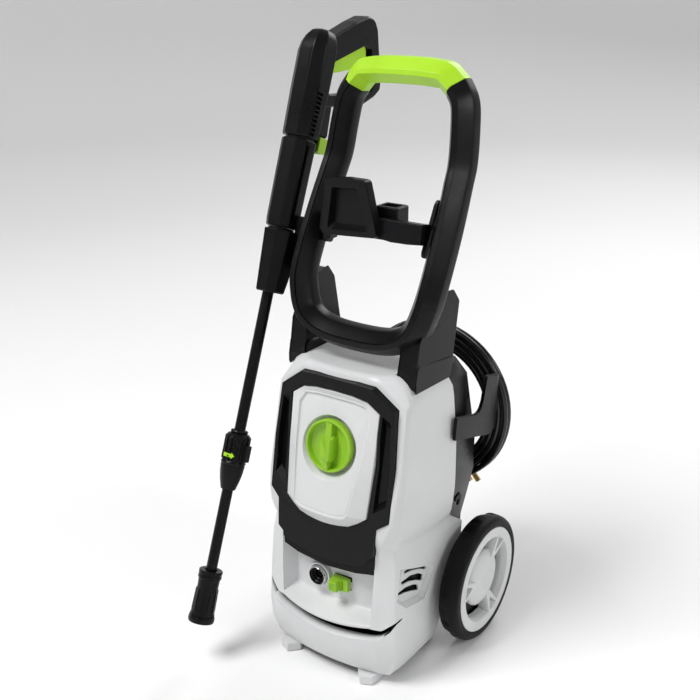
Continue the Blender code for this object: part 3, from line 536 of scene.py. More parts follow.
def make_front_casing():
    """The white front moulding: bowed skin, window, bezel seat, louvres and leg seats."""
    heights = sorted({row[0] for row in FRONT_LEVELS}
                     | {13.2, 15.5, 24, 54, 74, 90, 120, 165, 200, 215.5, 225, 247, 276, 310,
                        350, 375, 435, 449, 454.6} - {225})
    outer, inner = [], []
    for z in heights:
        half = casing_half(z)
        tuck = 2.6 * max(0.0, (15.5 - z) / 3.5) ** 2 + 2.5 * max(0.0, (z - 452) / 4.6) ** 2
        half = [(max(0.0, x - tuck * min(1.0, x / 60.0)), y + tuck) for x, y in half]
        row = [(-x, y) for x, y in reversed(half[1:])] + half
        outer.append([(x, y, z - crease_shift(y, z)) for x, y in row])
        shrunk = []
        for x, y in row:
            back = y >= half[-1][1] - 0.01
            shrunk.append((math.copysign(max(0.0, abs(x) - WALL * min(1.0, abs(x) / 70.0)), x),
                           y if back else y + WALL * (1.3 if y < 30 else 0.3),
                           min(z - crease_shift(y, z), 453.5)))
        inner.append(shrunk)
    verts, faces = [], []
    count = len(outer[0])
    for rows in (outer, inner):
        for row in rows:
            verts += [at(*p) for p in row]
    total = len(heights)
    for k in range(total - 1):
        for i in range(count - 1):
            a, b = k * count + i, (k + 1) * count + i
            faces.append((a, a + 1, b + 1, b))
            a, b = a + total * count, b + total * count
            faces.append((a + 1, a, b, b + 1))
        for end in (0, count - 1):
            a, b = k * count + end, (k + 1) * count + end
            faces.append((a, b, b + total * count, a + total * count))
    for i in range(count - 1):
        faces.append((i, i + total * count, i + 1 + total * count, i + 1))
    top = (total - 1) * count
    faces.append(tuple(top + i for i in range(count)))
    faces.append(tuple(top + total * count + i for i in reversed(range(count))))
    back = [top, top + total * count, top + total * count + count - 1, top + count - 1]
    faces.append(tuple(back))
    window = rounded([(81, 212), (77.5, 112), (76.5, 100), (76.5, 84), (-76.5, 84),
                      (-76.5, 100), (-77.5, 112), (-81, 212)], 3.0)
    cuts = [("DIFFERENCE", prism(window, -60, 24, along_y))]
    seat = rounded([(x * 1.006, 315 + (z - 315) * 1.006) for x, z in whole(BEZEL_OUT)[1:]
                    if x or z < 300], 1.5)
    cuts.append(("DIFFERENCE", prism(seat, -60, 42, along_y)))
    cuts.append(("DIFFERENCE", prism(whole(GAP_EDGE), -60, 19, along_y)))
    for side in (1, -1):
        cuts.append(("DIFFERENCE", prism(VENT_RIM, side * 100, side * 120, along_x)))
        cuts.append(("DIFFERENCE", leg_loft(side, 0.8)))
    return piece("casing_front", verts, faces, WHITE, "body", "white_casing",
                 ["front_casing"], width=0.9, segments=2, sharp=24.0, parts=cuts)


GAP_EDGE = [(0, 88.5), (30, 89.3), (62, 92), (78, 93.6), (92, 93.5), (96, 95.5), (115, 112),
            (104, 92), (92, 80), (76, 75.5), (50, 72.5), (25, 70.6), (0, 70)]
LOUVRES = [
    [(34, 172), (60, 170.5), (84, 162), (97, 152.5), (94.5, 145), (80, 153.5), (58, 162.5),
     (38, 167)],
    [(27, 158.5), (52, 157), (74, 149.5), (87.5, 140), (85.5, 131), (70, 140), (50, 148.5),
     (31, 153)],
    [(18, 145), (40, 144), (60, 138), (73, 131), (76.5, 120), (58, 128.5), (38, 136),
     (22, 140)],
]
VENT_RIM = [(17, 186), (104, 151.5), (102, 140), (77, 108.5), (28, 119.5), (6, 140)]


def make_bumper_shelf():
    """The bumper's rounded top, which runs back under the lip of the recess."""
    rows = []
    for i in range(33):
        x = -96.0 + 6.0 * i
        z = 69.5 + 0.00085 * x * x + 9.0 * max(0.0, (abs(x) - 74) / 26) ** 2
        half = casing_half(z)
        y = next(a[1] + (b[1] - a[1]) * (abs(x) - a[0]) / (b[0] - a[0])
                 for a, b in zip(half, half[1:]) if a[0] <= abs(x) < b[0])
        rows.append([at(x, y + d, z + h) for d, h in
                     ((3.0, -6.0), (0.9, -3.0), (0.5, -0.8), (1.6, 1.0), (5.0, 2.4), (11.0, 3.4),
                      (18.0, 1.0), (18.0, -0.6), (11.0, 1.4), (5.5, 0.2))])
    piece("bumper_top", *skin(rows), WHITE, "body", "white_casing", sharp=50.0)


def leg_loft(side, grow):
    """A leg of the handle; grow makes it the seat that it stands in."""
    middle = Vector((100.0, 496.0))
    shape = rounded(LEG, [3, 6, 8, 14, 8, 8, 8, 3], 3)
    rows = []
    for x, lean, lift, inset in ((76 - 2.5 * grow, 0.16, 14, 2.5), (78, 0.155, 13, 0.0),
                                 (98, 0.06, 3, 0.0), (103.5 + grow, 0.08, 0.8, 0.0),
                                 (105.5 + grow, 0.08, 0.4, 2.0)):
        loop = []
        for y, z in shape:
            out = Vector((y, z)) - middle
            a = y + math.copysign(grow - inset, out.x)
            b = z + math.copysign(grow - inset, out.y)
            b += lift * max(0.0, min(1.0, (500 - z) / 20.0))
            loop.append(at(side * (x + lean * (z - 436) * (y - 62) / 80), a, b))
        rows.append(loop)
    return skin(rows)


def make_side_vents():
    """The sunken louvre panels in the side walls, with a black sheet behind them as painted
    shade.
    """
    floor = [(22, 181), (99.5, 151), (97.5, 141), (75.5, 112), (31, 123), (12, 141)]
    for side, name in ((1, "right"), (-1, "left")):
        rim = rounded(VENT_RIM, [2, 3, 3, 5, 3, 2], 3)
        low = rounded(floor, [2, 3, 3, 5, 3, 2], 3)

        def face(y, lift):
            return side * (110.6 - 4.0 * max(0.0, (22.0 - y) / 30.0) ** 2 + lift)

        shell = skin([[at(face(y, -0.4), y, z) for y, z in rim],
                      [at(face(y, -7.6), y, z) for y, z in low],
                      [at(face(y, -9.6), y, z) for y, z in low],
                      [at(face(y, -2.6), y, z) for y, z in rim]], closed=True)
        base = skin([[at(side * h, y, z) for y, z in low] for h in (103.0, 100.6)])
        slots = [("DIFFERENCE", prism(rounded(slot, 1.6, 3), side * 97, side * 112, along_x))
                 for slot in LOUVRES]
        piece(f"louvre_{name}", *base, WHITE, "body", "white_casing", width=0.6,
              parts=slots)
        piece(f"louvre_frame_{name}", *shell, WHITE, "body", "white_casing", sharp=40.0)
        # Painted shade: a black sheet behind the slots stands in for the dark inside of the
        # casing.
        piece(f"louvre_shade_sheet_{name}", *skin([[at(side * h, y, z) for y, z in rim]
                                              for h in (96.5, 97.5)]),
              DEEP, "body", "black_plastic")


def make_bezel():
    """The black frame round the panel, with deep side channels and the chin's apron."""
    outer = rounded(whole(BEZEL_OUT), 3.0, 3)
    inner = rounded(whole(BEZEL_IN), 2.0, 3)
    slab = skin([[at(x, front_depth(x, z) - 0.4, z) for x, z in outer],
                 [at(x, front_depth(x, z) + 12.0, z) for x, z in outer]])
    cuts = [("DIFFERENCE", prism(inner, -60, 45, along_y))]
    for side in (1, -1):
        rim = [(76.5, 411), (89.5, 401), (94, 340), (94, 285), (74.5, 267.5), (76.5, 340)]
        floor = [(78, 396), (88, 388), (92, 340), (92, 295), (77.5, 284), (78, 340)]
        loops = []
        for shape, depth in ((rim, -6.0), (rim, -0.2), (floor, 11.0)):
            loops.append([at(side * x, front_depth(x, z) + depth, z) for x, z in shape])
        cuts.append(("DIFFERENCE", skin(loops)))
    piece("bezel_frame", *slab, BLACK, "body", "black_plastic", ["front_bezel"], width=0.8,
          segments=2, sharp=28.0, parts=cuts)
    apron = [(-83, 217), (-83, 178), (-50, 173), (0, 170), (50, 173), (83, 178), (83, 217)]
    apron = rounded(apron, 1.5, 3)
    piece("bezel_apron", *skin([[at(x, front_depth(x, 205) + 10.5 + d, z) for x, z in apron]
                                for d in (0.0, 4.5)]),
          BLACK, "body", "black_plastic", width=0.7)


PLATEAU_SLOPE = (-26.0 - 14.5) / (260.0 - 413.0)


def plateau_depth(z, sunk=0.0):
    """Depth of the control panel's raised face at a height."""
    return 14.5 + (z - 413.0) * PLATEAU_SLOPE + sunk


def make_panel():
    """The white control panel: edge, sloping bands, groove line and raised face."""
    edge = [(x * 0.985, 336 + (z - 336) * 0.985) for x, z in BEZEL_IN]
    crest = [(0, 418), (30, 417.5), (50, 415), (58.5, 401), (54, 340), (45, 270), (41, 264.5),
             (34, 262), (22, 260.5), (11, 260), (0, 260)]
    steps = 6

    def densify(half):
        full = whole(half)
        dense = []
        for i, p in enumerate(full):
            q = full[(i + 1) % len(full)]
            dense += [(p[0] + (q[0] - p[0]) * k / steps, p[1] + (q[1] - p[1]) * k / steps)
                      for k in range(steps)]
        return dense

    loops = []
    rim, ridge = densify(edge), densify(crest)
    loops.append([at(x, front_depth(x, z) + 14.0, z) for x, z in rim])
    loops.append([at(x, front_depth(x, z) + 2.6, z) for x, z in rim])
    loops.append([at(x * 0.992, front_depth(x, z) + 1.6, 336 + (z - 336) * 0.992)
                  for x, z in rim])
    for shrink, sunk in ((1.035, 0.0), (1.015, -0.5), (1.0, -0.3), (0.985, 1.5), (0.965, 2.2),
                         (0.95, 1.8)):
        loops.append([at(x * shrink, plateau_depth(z, sunk) + 0.0006 * x * x,
                         338 + (z - 338) * (1 + (shrink - 1) * 0.8)) for x, z in ridge])
    for shrink in (0.85, 0.7, 0.55, 0.4, 0.2, 0.02):
        loops.append([at(x * shrink, plateau_depth(352 + (z - 352) * shrink, 1.8)
                         + 0.0006 * (x * shrink) ** 2, 352 + (z - 352) * shrink)
                      for x, z in ridge])
    back = [(x * 0.9, 338 + (z - 338) * 0.9) for x, z in rim]
    loops.insert(0, [at(x, front_depth(x, z) + 14.0, z) for x, z in back])
    loops.insert(0, [at(x * 0.02, 40, 352 + (z - 352) * 0.02) for x, z in rim])
    dish = [(38.9, -9.5), (38.9, -8.0), (39.6, -6.6), (42.0, -3.0), (47.6, 5.6), (49.2, 7.0),
            (52.5, 8.2), (54.0, 40.0)]
    hollow = lathe(dish, on_knob, 72)
    panel = piece("panel_face", *skin(loops), WHITE, "body", "white_casing",
                  ["control_panel", "knob_dish"], width=0.0, sharp=30.0,
                  parts=[("DIFFERENCE", hollow)])
    ring = [(3.6 + 0.55 * math.cos(a), 0.35 * math.sin(a))
            for a in [math.tau * i / 8 for i in range(8)]]

    def beside(x0, z0):
        return lambda x, y, h: at(x0 + x, plateau_depth(z0 + y, 1.8) + 0.0006 * x0 * x0
                                  - h + 0.05, z0 + y)
    piece("mark_off", *lathe(ring, beside(0.0, 399.5), 32, closed=True), WHITE, "body",
          "white_casing")
    bar = rounded([(-0.6, -3.8), (0.6, -3.8), (0.6, 3.8), (-0.6, 3.8)], 0.5, 3)
    place = beside(45.0, 376.0)
    piece("mark_on", *skin([[place(x, y, -0.3) for x, y in bar],
                            [place(x, y, 0.35) for x, y in bar]]), WHITE, "body",
          "white_casing")
    return panel


def make_knob():
    """The rotary switch: rim ring, sunken disc and a tapered bar with an inset."""
    r = 37.3
    dish = [(0.0, -7.0), (r - 2.0, -7.0), (r, -5.5), (r, 3.6), (r - 0.8, 4.9), (r - 2.0, 5.4),
            (r - 3.4, 5.1), (r - 4.6, 3.6), (r - 6.0, -1.2), (r - 8.5, -3.2), (r - 14.0, -4.2),
            (0.0, -4.4)]
    disc = lathe(dish, on_knob, 96)
    lower = [(-6.0, 33.6), (6.0, 33.6), (6.6, 16), (9.6, 12.5), (9.6, -18), (8.4, -21.5),
             (5.6, -22.5), (5.4, -34.2), (-5.4, -34.2), (-5.6, -22.5), (-8.4, -21.5),
             (-9.6, -18), (-9.6, 12.5), (-6.6, 16)]
    upper = [(-4.6, 33.0), (4.6, 33.0), (4.8, 14.6), (7.2, 11.0), (7.2, -17), (6.0, -19.8),
             (4.4, -21.0), (3.8, -33.2), (-3.8, -33.2), (-4.4, -21.0), (-6.0, -19.8),
             (-7.2, -17), (-7.2, 11.0), (-4.8, 14.6)]

    def height(y, top):
        return top if -21.2 < y < 13 else top - 5.6

    bar = skin([[on_knob(x, y, -5.5) for x, y in lower],
                [on_knob(x, y, height(y, 7.0)) for x, y in lower],
                [on_knob(x, y, height(y, 11.5)) for x, y in upper]])
    collar = skin([[on_knob(x, y, h) for x, y in
                    [(-9.2 + t, -15.6), (9.2 - t, -15.6), (9.2 - t, -17.4), (-9.2 + t, -17.4)]]
                   for t, h in ((0.0, 4.0), (1.4, 12.2))])
    inset = rounded([(-3.6, -13.5), (3.6, -13.5), (3.6, 8.0), (-3.6, 8.0)], 0.7, 3)
    inset = skin([[on_knob(x, y, h) for x, y in inset] for h in (10.6, 16.0)])
    piece("switch_knob", *disc, LEAF, "knob", "lime_plastic", ["power_knob"], sharp=30.0)
    piece("switch_bar", *bar, LEAF, "knob", "lime_plastic", width=0.7, segments=3, sharp=30.0,
          parts=[("DIFFERENCE", inset)])
    piece("switch_collar", *collar, LEAF, "knob", "lime_plastic", width=0.4)


def make_tray():
    """The connector recess: bowed back wall, cheeks, sloping sill with its bright lip, and a
    black sheet behind the gap under the sill as painted shade.
    """
    xs = [-79 + 158 * i / 24 for i in range(25)]

    def back(x):
        return 7.5 + 0.00150 * x * x

    def lip(x):
        return -24.0 + 0.00205 * x * x

    def drop(x):
        return 92.5 + 0.0010 * x * x

    rows = []
    for x in xs:
        front = lip(x)
        sill = drop(x)
        rows.append([(x, front + 12, sill - 6.5), (x, front + 2.4, sill - 5.5),
                     (x, front + 0.6, sill - 4.4), (x, front, sill - 2.4),
                     (x, front + 0.9, sill - 0.4), (x, front + 2.8, sill + 0.8),
                     (x, front + 7.0, sill + 2.6),
                     (x, back(x) - 3.2, 107.2), (x, back(x) - 1.0, 109.6), (x, back(x), 114.0),
                     (x, back(x), 150.0), (x, back(x) + 0.4, 187.0), (x, back(x) + 3.4, 187.0),
                     (x, back(x) + 3.0, 114.0), (x, back(x) + 2.0, 98.0)])
    verts, faces = skin([[at(*p) for p in row] for row in rows])
    cuts = []
    # Painted shade: a black sheet behind the gap under the sill stands in for the shadow there.
    gap_shade_sheet = skin([[at(x, back(x) * 0.6 + 2.0 + d, z) for d, z in
                         ((0, 66.0), (0, 99.0), (2.0, 99.0), (2.0, 66.0))]
                        for x in [-100 + 200 * i / 24 for i in range(25)]])
    piece("painted_gap_shade", *gap_shade_sheet, DEEP, "body", "black_plastic")
    for side in (1, -1):
        cheek = [(-5.0, 187), (-9.0, 98), (6, 96), (24, 110), (24, 187)]
        shape = []
        for x in (side * 86.0, side * 80.0):
            shape.append([at(x, y + (1.6 if y < 0 else 0.0), z) for y, z in cheek])
        shape.append([at(side * (77.0 + 0.03 * (z - 98) - 0.5 * max(0.0, y + 4)), y, z)
                      for y, z in cheek])
        cuts.append(("UNION", skin(shape)))
    x, z = OUTLET
    hole = lathe([(14.75, -60), (14.75, 50)], lambda a, b, h: at(x + a, h, z + b), 48)
    cuts.append(("DIFFERENCE", hole))
    slot = rounded([(4.5, 128.5), (33.0, 128.5), (33.0, 150.2), (4.5, 150.2)], 1.0, 3)
    cuts.append(("DIFFERENCE", prism(slot, -50, 50, along_y)))
    piece("recess_tray", verts, faces, WHITE, "body", "white_casing", ["connector_tray"],
          width=0.0, sharp=26.0, parts=cuts)
    collar = [(14.7, -7.0), (14.7, -3.4), (15.4, -2.2), (16.6, -1.6), (18.4, -2.0),
              (19.0, -4.0), (19.0, -9.5)]
    piece("outlet_surround",
          *lathe([(r, -9.4 - h) for r, h in collar],
                 lambda a, b, h: at(x + a, h + 8.6, z + b), 48, closed=True),
          WHITE, "body", "white_casing")


def make_outlet():
    """The outlet's polished ring, its socket with an inner port, and the release latch."""
    x, z = OUTLET

    def place(a, b, h):
        return at(x + a, -2.0 - h, z + b)

    ring = [(12.9, -12.0), (12.9, 2.0), (13.2, 2.8), (13.7, 3.1), (14.2, 2.6), (14.4, 1.4),
            (14.4, -12.0)]
    piece("outlet_collar", *lathe(ring, place, 64, closed=True), CHROME, "body", "chrome_ring",
          ["outlet_ring"])
    sock = [(6.6, -30.0), (6.6, -4.0), (7.4, -3.0), (9.0, -3.0), (9.4, -1.0), (10.6, 0.6),
            (11.7, 1.2), (12.1, 0.2), (12.1, -12.0), (11.0, -30.0)]
    port = [(1.9, -22.0), (1.9, -7.5), (2.6, -6.5), (4.2, -6.5), (4.6, -7.5), (4.6, -22.0)]
    piece("outlet_mouth", *merged(lathe(sock, place, 64, closed=True),
                                  lathe(port, place, 40, closed=True)),
          DEEP, "body", "black_plastic", ["outlet_socket"])
    body = rounded([(5.2, 130.2), (32.4, 130.2), (32.4, 149.6), (5.2, 149.6)], 1.2, 3)
    base = skin([[at(a, d, b) for a, b in body] for d in (6.0, -0.5, -1.8)])
    tab = skin([[at(a, d, b) for a, b in rounded(
        [(6 + t, 131 + t), (21 - t, 131 + t), (21 - t, 149 - t), (6 + t, 149 - t)], 1.6, 3)]
        for d, t in ((-1.0, 0.0), (-11.5, 0.4), (-13.2, 1.2), (-13.8, 2.6))])
    dip = skin([[at(a, d, b) for a, b in rounded(
        [(9.5, 135), (17, 135), (17, 145), (9.5, 145)], 1.0, 3)] for d in (-13.0, -20.0)])
    bars = merged(*[block((10.2, -13.7, 136.2 + 3.2 * k), (16.3, -12.5, 137.6 + 3.2 * k))
                    for k in range(3)])
    ridge = block((21.0, -5.2, 131.2), (23.2, -1.0, 148.8))
    piece("release_latch", *base, LEAF, "latch", "lime_plastic", ["outlet_latch"], width=0.35,
          parts=[("UNION", tab), ("UNION", ridge), ("DIFFERENCE", dip), ("UNION", bars)])


make_front_casing()
make_bumper_shelf()
make_side_vents()
make_bezel()
make_panel()
make_knob()
make_tray()
make_outlet()


# ------------------------------------------------------------------ handle
RING_HALF = [
    ((0, 47, 487), 0.0), ((40, 47, 489), 0.0), ((68, 47.5, 497), 0.02),
    ((88, 49, 513), 0.04), ((99, 53, 540), 0.06), ((104.5, 63.4, 575.4), 0.12),
    ((104, 98, 645), 0.22), ((100.5, 128, 703), 0.22), ((98.9, 140.2, 728), 0.19),
    ((96, 148.5, 766), 0.15), ((91, 155, 799), 0.10), ((79.5, 158.5, 818), 0.07),
]
GRIP_HALF = [((64, 156.5, 832.5), 0.02), ((34, 154.5, 835), 0.0), ((0, 154, 835.5), 0.0)]
GRIP_PROFILE = [(-3.5, 0), (3.5, 0), (17.5, 20), (18, 36), (14, 44), (-14, 44), (-18, 36),
                (-17.5, 20)]
ARM_PROFILE = [(-3.6, 0.0), (3.0, 0.0), (3.9, 0.5), (4.2, 2.6), (5.2, 2.8), (5.7, 1.8),
               (11.3, 9.6), (16.6, 17.8), (17.7, 21.5), (18.1, 28.0), (18.0, 35.0),
               (16.9, 39.0), (14.4, 43.0), (12.0, 44.0), (-12.0, 44.0), (-14.4, 43.0),
               (-16.9, 39.0), (-18.0, 35.0), (-17.7, 21.5), (-16.6, 18.0), (-11.0, 10.0),
               (-4.4, 0.5)]


def arm_path():
    """The handle's front edge from the left arm's top, round the ring, to the right's."""
    half = [(*spot, dip) for spot, dip in RING_HALF]
    knots = [(-x, y, z, dip) for x, y, z, dip in reversed(half[1:])] + half
    return through([Vector(knot) for knot in knots], 6)


def arm_sections():
    path = arm_path()
    top = Vector((*GRIP_HALF[0][0], GRIP_HALF[0][1]))
    left_top = Vector((-top[0], top[1], top[2], top[3]))
    sections = []
    for i, knot in enumerate(path):
        before = path[i - 1] if i else left_top
        after = path[i + 1] if i + 1 < len(path) else top
        along = (after.xyz - before.xyz).normalized()
        back = Vector((0.0, 1.0, -knot[3])).normalized()
        out = along.cross(back).normalized()
        sections.append([at(*(knot.xyz + out * u + back * w)) for u, w in ARM_PROFILE])
    return sections


def make_grip():
    """The lime top grip: a straight bar with cranked ends, seamed square to the arms."""
    tops = [Vector((*RING_HALF[-1][0], RING_HALF[-1][1]))]
    tops += [Vector((*spot, dip)) for spot, dip in GRIP_HALF]
    ends = [Vector((-p[0], p[1], p[2], p[3])) for p in reversed(tops[:-1])]
    knots = tops + ends
    path = []
    for i, knot in enumerate(knots):
        if i in (0, len(knots) - 1):
            path.append(knot)
            continue
        before, after = knots[i - 1], knots[i + 1]
        reach = 5.0
        first = knot + (before - knot) * (reach / (before - knot).length)
        last = knot + (after - knot) * (reach / (after - knot).length)
        path += [first * (1 - t) ** 2 + knot * 2 * t * (1 - t) + last * t * t
                 for t in (0.0, 0.25, 0.5, 0.75, 1.0)]
    inward = (path[1].xyz - path[0].xyz).normalized() * 0.4
    path[0] = Vector((*(path[0].xyz + inward), path[0][3]))
    path[-1] = Vector((-path[0][0], path[0][1], path[0][2], path[0][3]))
    profile = rounded(GRIP_PROFILE, [1.2, 1.2, 2.2, 3.0, 3.0, 3.0, 3.0, 2.2], 3)
    sections = []
    for i, knot in enumerate(path):
        before, after = path[max(0, i - 1)], path[min(len(path) - 1, i + 1)]
        along = (after.xyz - before.xyz).normalized()
        back = Vector((0.0, 1.0, -knot[3])).normalized()
        out = back.cross(along).normalized()
        sections.append([at(*(knot.xyz + out * u + back * w)) for u, w in profile])
    piece("grip_bar", *skin(sections), LIME, "body", "lime_plastic", ["handle_grip"],
          width=0.5, sharp=30.0)


def make_handle():
    """The black frame: grooved ring and arms, the legs and the socket collars."""
    notches = []
    for side in (-1, 1):
        low, high = sorted((side * 95, side * 140))
        notches.append(("DIFFERENCE", lathe([(17, low), (17, high)],
                                            lambda a, b, h: at(h, 168 + a, 634 + b), 48)))
    piece("handle_ring", *skin(arm_sections()), BLACK, "body", "black_plastic",
          ["handle_frame"], sharp=38.0, parts=notches)
    for side, name in ((1, "right"), (-1, "left")):
        piece(f"handle_leg_{name}", *leg_loft(side, -0.6), BLACK, "body", "black_plastic",
              width=1.0, segments=3)
        collar = []
        foot = rounded([(52.2, 436), (52.2, 452), (56.5, 473), (100, 468), (142.8, 463),
                        (143, 432)], [2, 3, 5, 20, 5, 2], 3)
        for x, inset, lift in ((75.6, 2.0, 14), (77.5, 0.0, 13), (98, 0.0, 3),
                               (104.8, 0.0, 0.6), (106.2, 1.6, 0.2)):
            collar.append([at(side * (x + 0.10 * (z - 436) * (y - 62) / 80),
                              y + math.copysign(0.5 - inset, y - 100),
                              z - inset * (z > 450) + lift * max(0.0, min(1.0, (452 - z) / 14)))
                           for y, z in foot])
        piece(f"handle_socket_{name}", *skin(collar), BLACK, "body", "black_plastic",
              width=0.6)


def make_holder():
    """The accessory holder: pocket plate, bar with its swept step, ledge and pads."""
    bar = [(93, 624), (118, 618), (126, 630), (122, 648), (98, 652)]
    rows = []
    for x, drop, grow in ((-81, 0, 0), (-30, 0, 0), (24, 0, 0), (34, -1, 1), (60, -1, 0),
                          (81, 0, -2)):
        rows.append([at(x, 108 + (y - 108) * (1 + 0.02 * grow),
                        636 + (z - 636) * (1 + 0.03 * grow) + drop)
                     for y, z in rounded(bar, [3, 6, 4, 4, 3], 3)])
    plate = rounded([(-64, 698), (-30, 702.5), (2, 702), (21, 627), (-71, 621)],
                    [5, 20, 6, 7, 5], 4)
    shell = skin([[at(x * (1 - i * 0.02), y, 660 + (z - 660) * (1 - i * 0.02))
                   for x, z in plate] for y, i in ((82.6, 1), (84, 0), (96.5, 0), (98, 1))])
    rim = rounded([(-52, 688), (-12, 690), (6, 634), (-60, 630)], 4.0, 4)
    pit = rounded([(-50, 684), (-14, 686), (-2, 640), (-54, 637)], 4.0, 4)
    window = skin([[at(x, 60, z) for x, z in rim], [at(x, 83, z) for x, z in rim],
                   [at(x, 93, z) for x, z in pit]])
    ledge = skin([[at(x, y, z) for x, y in rounded(
        [(-2 + t, 112 + t), (34 - t, 112 + t), (34 - t, 142 - t), (-2 + t, 142 - t)], 2.5, 3)]
        for z, t in ((632, 0), (662.5, 0), (664, 1.5))])
    socket = prism(rounded([(4, 118), (28, 118), (28, 136), (4, 136)], 1.5, 3), 641, 680,
                   along_z)
    piece("holder_body", *skin(rows), BLACK, "body", "black_plastic", ["accessory_holder"],
          width=0.7, parts=[("UNION", shell), ("UNION", ledge), ("DIFFERENCE", window),
                            ("DIFFERENCE", socket)])
    for side, name in ((1, "right"), (-1, "left")):
        pad = rounded([(101, 606), (119, 601), (152, 668), (136, 680)], [5, 5, 7, 7], 3)
        piece(f"holder_pad_{name}",
              *skin([[at(side * (x + 0.02 * (z - 600)), 125 + (y - 125) * k,
                         640 + (z - 640) * k) for y, z in pad]
                     for x, k in ((76.0, 0.90), (77.5, 1.0), (82, 1.0))]),
              BLACK, "body", "black_plastic", width=0.6)
    piece("holder_foot", *skin([[at(x, y, z) for x, z in rounded(
        [(-73, 626), (-60, 626), (-61, 613), (-71, 613)], 1.5, 3)] for y in (90, 108)]),
        BLACK, "body", "black_plastic", width=0.5)


# ------------------------------------------------------------------ gun
def gun_ring(s, half_x, front, back, radius=3.0, flat=0.45):
    """A softened octagon across the gun's axis."""
    cut_x, cut_y = half_x * flat, (front + back) * 0.24
    loop = [(half_x, cut_y - front), (half_x, back - cut_y), (cut_x, back), (-cut_x, back),
            (-half_x, back - cut_y), (-half_x, cut_y - front), (-cut_x, -front),
            (cut_x, -front)]
    return [on_gun(x, y, s) for x, y in rounded(loop, radius, 3)]


GRIP_OUT = [(10, 872), (60, 911), (89, 931), (106, 931), (118, 921), (155, 849), (157, 837),
            (146, 824), (122, 806), (18, 772)]
GRIP_IN = [(26, 842), (100, 892), (111, 888), (139, 838), (131, 826), (26, 792)]
GRIP_SLOT = [(22, 836), (108, 894), (96, 913), (10, 856)]


def tapered(outline, half, chamfer, place=gun_x):
    """A plate about x = 0 with chamfered rims."""
    middle = sum((Vector(p) for p in outline), Vector((0, 0))) / len(outline)

    def shrunk(t):
        return [tuple(Vector(p) + (middle - Vector(p)).normalized() * t) for p in outline]

    return skin([[place(a, b, x) for a, b in shrunk(t)]
                 for x, t in ((-half, chamfer), (-half + chamfer, 0.0),
                              (half - chamfer, 0.0), (half, chamfer))])


def make_gun_shell():
    """The barrel and the grip loop, with the finger hole, trigger slot and side vents."""
    barrel = skin([gun_ring(724.0, 22.3, 22.3, 22.5), gun_ring(726.5, 23.6, 23.6, 23.8),
                   gun_ring(790, 25, 25, 26), gun_ring(845, 25, 26, 26, 4.0),
                   gun_ring(858, 23.6, 23.2, 25.2, 4.0), gun_ring(868, 21, 18.5, 23.4, 4.0),
                   gun_ring(876, 16, 12.5, 21, 4.0), gun_ring(879, 11, 7, 18.5, 3.0)])
    loop = tapered(rounded(GRIP_OUT, [4, 30, 14, 10, 12, 12, 8, 8, 10, 4], 4), 15.0, 3.2)
    web = tapered(rounded([(10, 796), (42, 796), (48, 734), (14, 734)], 3.0, 3), 13.0, 2.0)
    hole = prism(rounded(GRIP_IN, [6, 6, 6, 8, 6, 6], 4), -30, 30, gun_x)
    slot = prism(GRIP_SLOT, -9.5, 9.5, gun_x)
    cuts = [("UNION", loop), ("UNION", web), ("DIFFERENCE", hole), ("DIFFERENCE", slot),
            ("DIFFERENCE", block((-9.5, 11, 824), (9.5, 30, 848), on_gun))]
    for k in range(10):
        s = 727.0 + 6.4 * k
        cuts.append(("DIFFERENCE", block((20.8, -12.0, s), (30, 0.5, s + 3.7), on_gun)))
    cuts.append(("DIFFERENCE", skin([[on_gun(x, y, s) for x, s in
                                      ((8.2, 851), (10.4, 848), (8.4, 792), (6.6, 794))]
                                     for y in (-40, -24.9)])))
    piece("gun_shell", *barrel, BLACK, "gun", "black_plastic", ["gun_body"], width=0.5,
          sharp=30.0, parts=cuts)


def make_grip_insert():
    """The raised pad on the slope of the grip, with its three grooves."""
    edge = Vector((89 - 60, 931 - 911)).normalized()
    across = Vector((-edge.y, edge.x))
    base = Vector((60, 911))

    def on_top(u, h, x):
        spot = base + edge * u + across * h
        return on_gun(x, spot.x, spot.y)

    insert = [(-35, -11), (-17, -11), (0, -11), (31, -11), (31, 11), (0, 11), (-17, 11),
              (-35, 11)]
    insert = rounded(insert, [3, 1, 1, 3, 3, 1, 1, 3], 3)
    rows = [[on_top(u, h - 0.075 * max(0.0, -u), x) for u, x in insert]
            for h in (-3.0, 0.2)]
    grooves = [("DIFFERENCE", skin([[on_top(u, h, x) for u, x in
                                     ((c, -10), (c + 2.4, -10), (c + 2.4, 10), (c, 10))]
                                    for h in (-1.6 - 0.075 * max(0, -c), 4.0)]))
               for c in (-17, 2, 18)]
    piece("grip_insert", *skin(rows), DEEP, "gun", "black_plastic", width=0.3, parts=grooves)


def make_gun_sleeve():
    """The long sleeve below the barrel and the hose's mouth in its shoulder."""
    sleeve = skin([gun_ring(592.4, 19.6, 19.6, 19.6, 5), gun_ring(594, 21, 21, 21, 6),
                   gun_ring(604, 22, 22, 22, 7), gun_ring(718.4, 23.1, 23.1, 23.1, 7),
                   gun_ring(719.8, 22.0, 22.0, 22.0, 6), gun_ring(720.4, 18.6, 18.6, 18.6, 5),
                   gun_ring(723.6, 18.6, 18.6, 18.6, 5)])
    channel = block((16.8, -9.8, 602), (30, -4.4, 712), on_gun)
    piece("sleeve_shell", *sleeve, BLACK, "gun", "black_plastic", ["gun_sleeve"],
          sharp=34.0, parts=[("DIFFERENCE", channel)])
    socket = [(6.0, 733.4), (9.0, 733.4), (9.5, 732.4), (9.5, 727), (8.7, 726), (8.7, 724),
              (9.5, 723), (9.5, 712), (6.0, 712)]
    piece("hose_mouth", *lathe(socket, on_gun, 40, closed=True, centre=(0, 35)), DEEP, "gun",
          "black_plastic", ["hose_socket"])


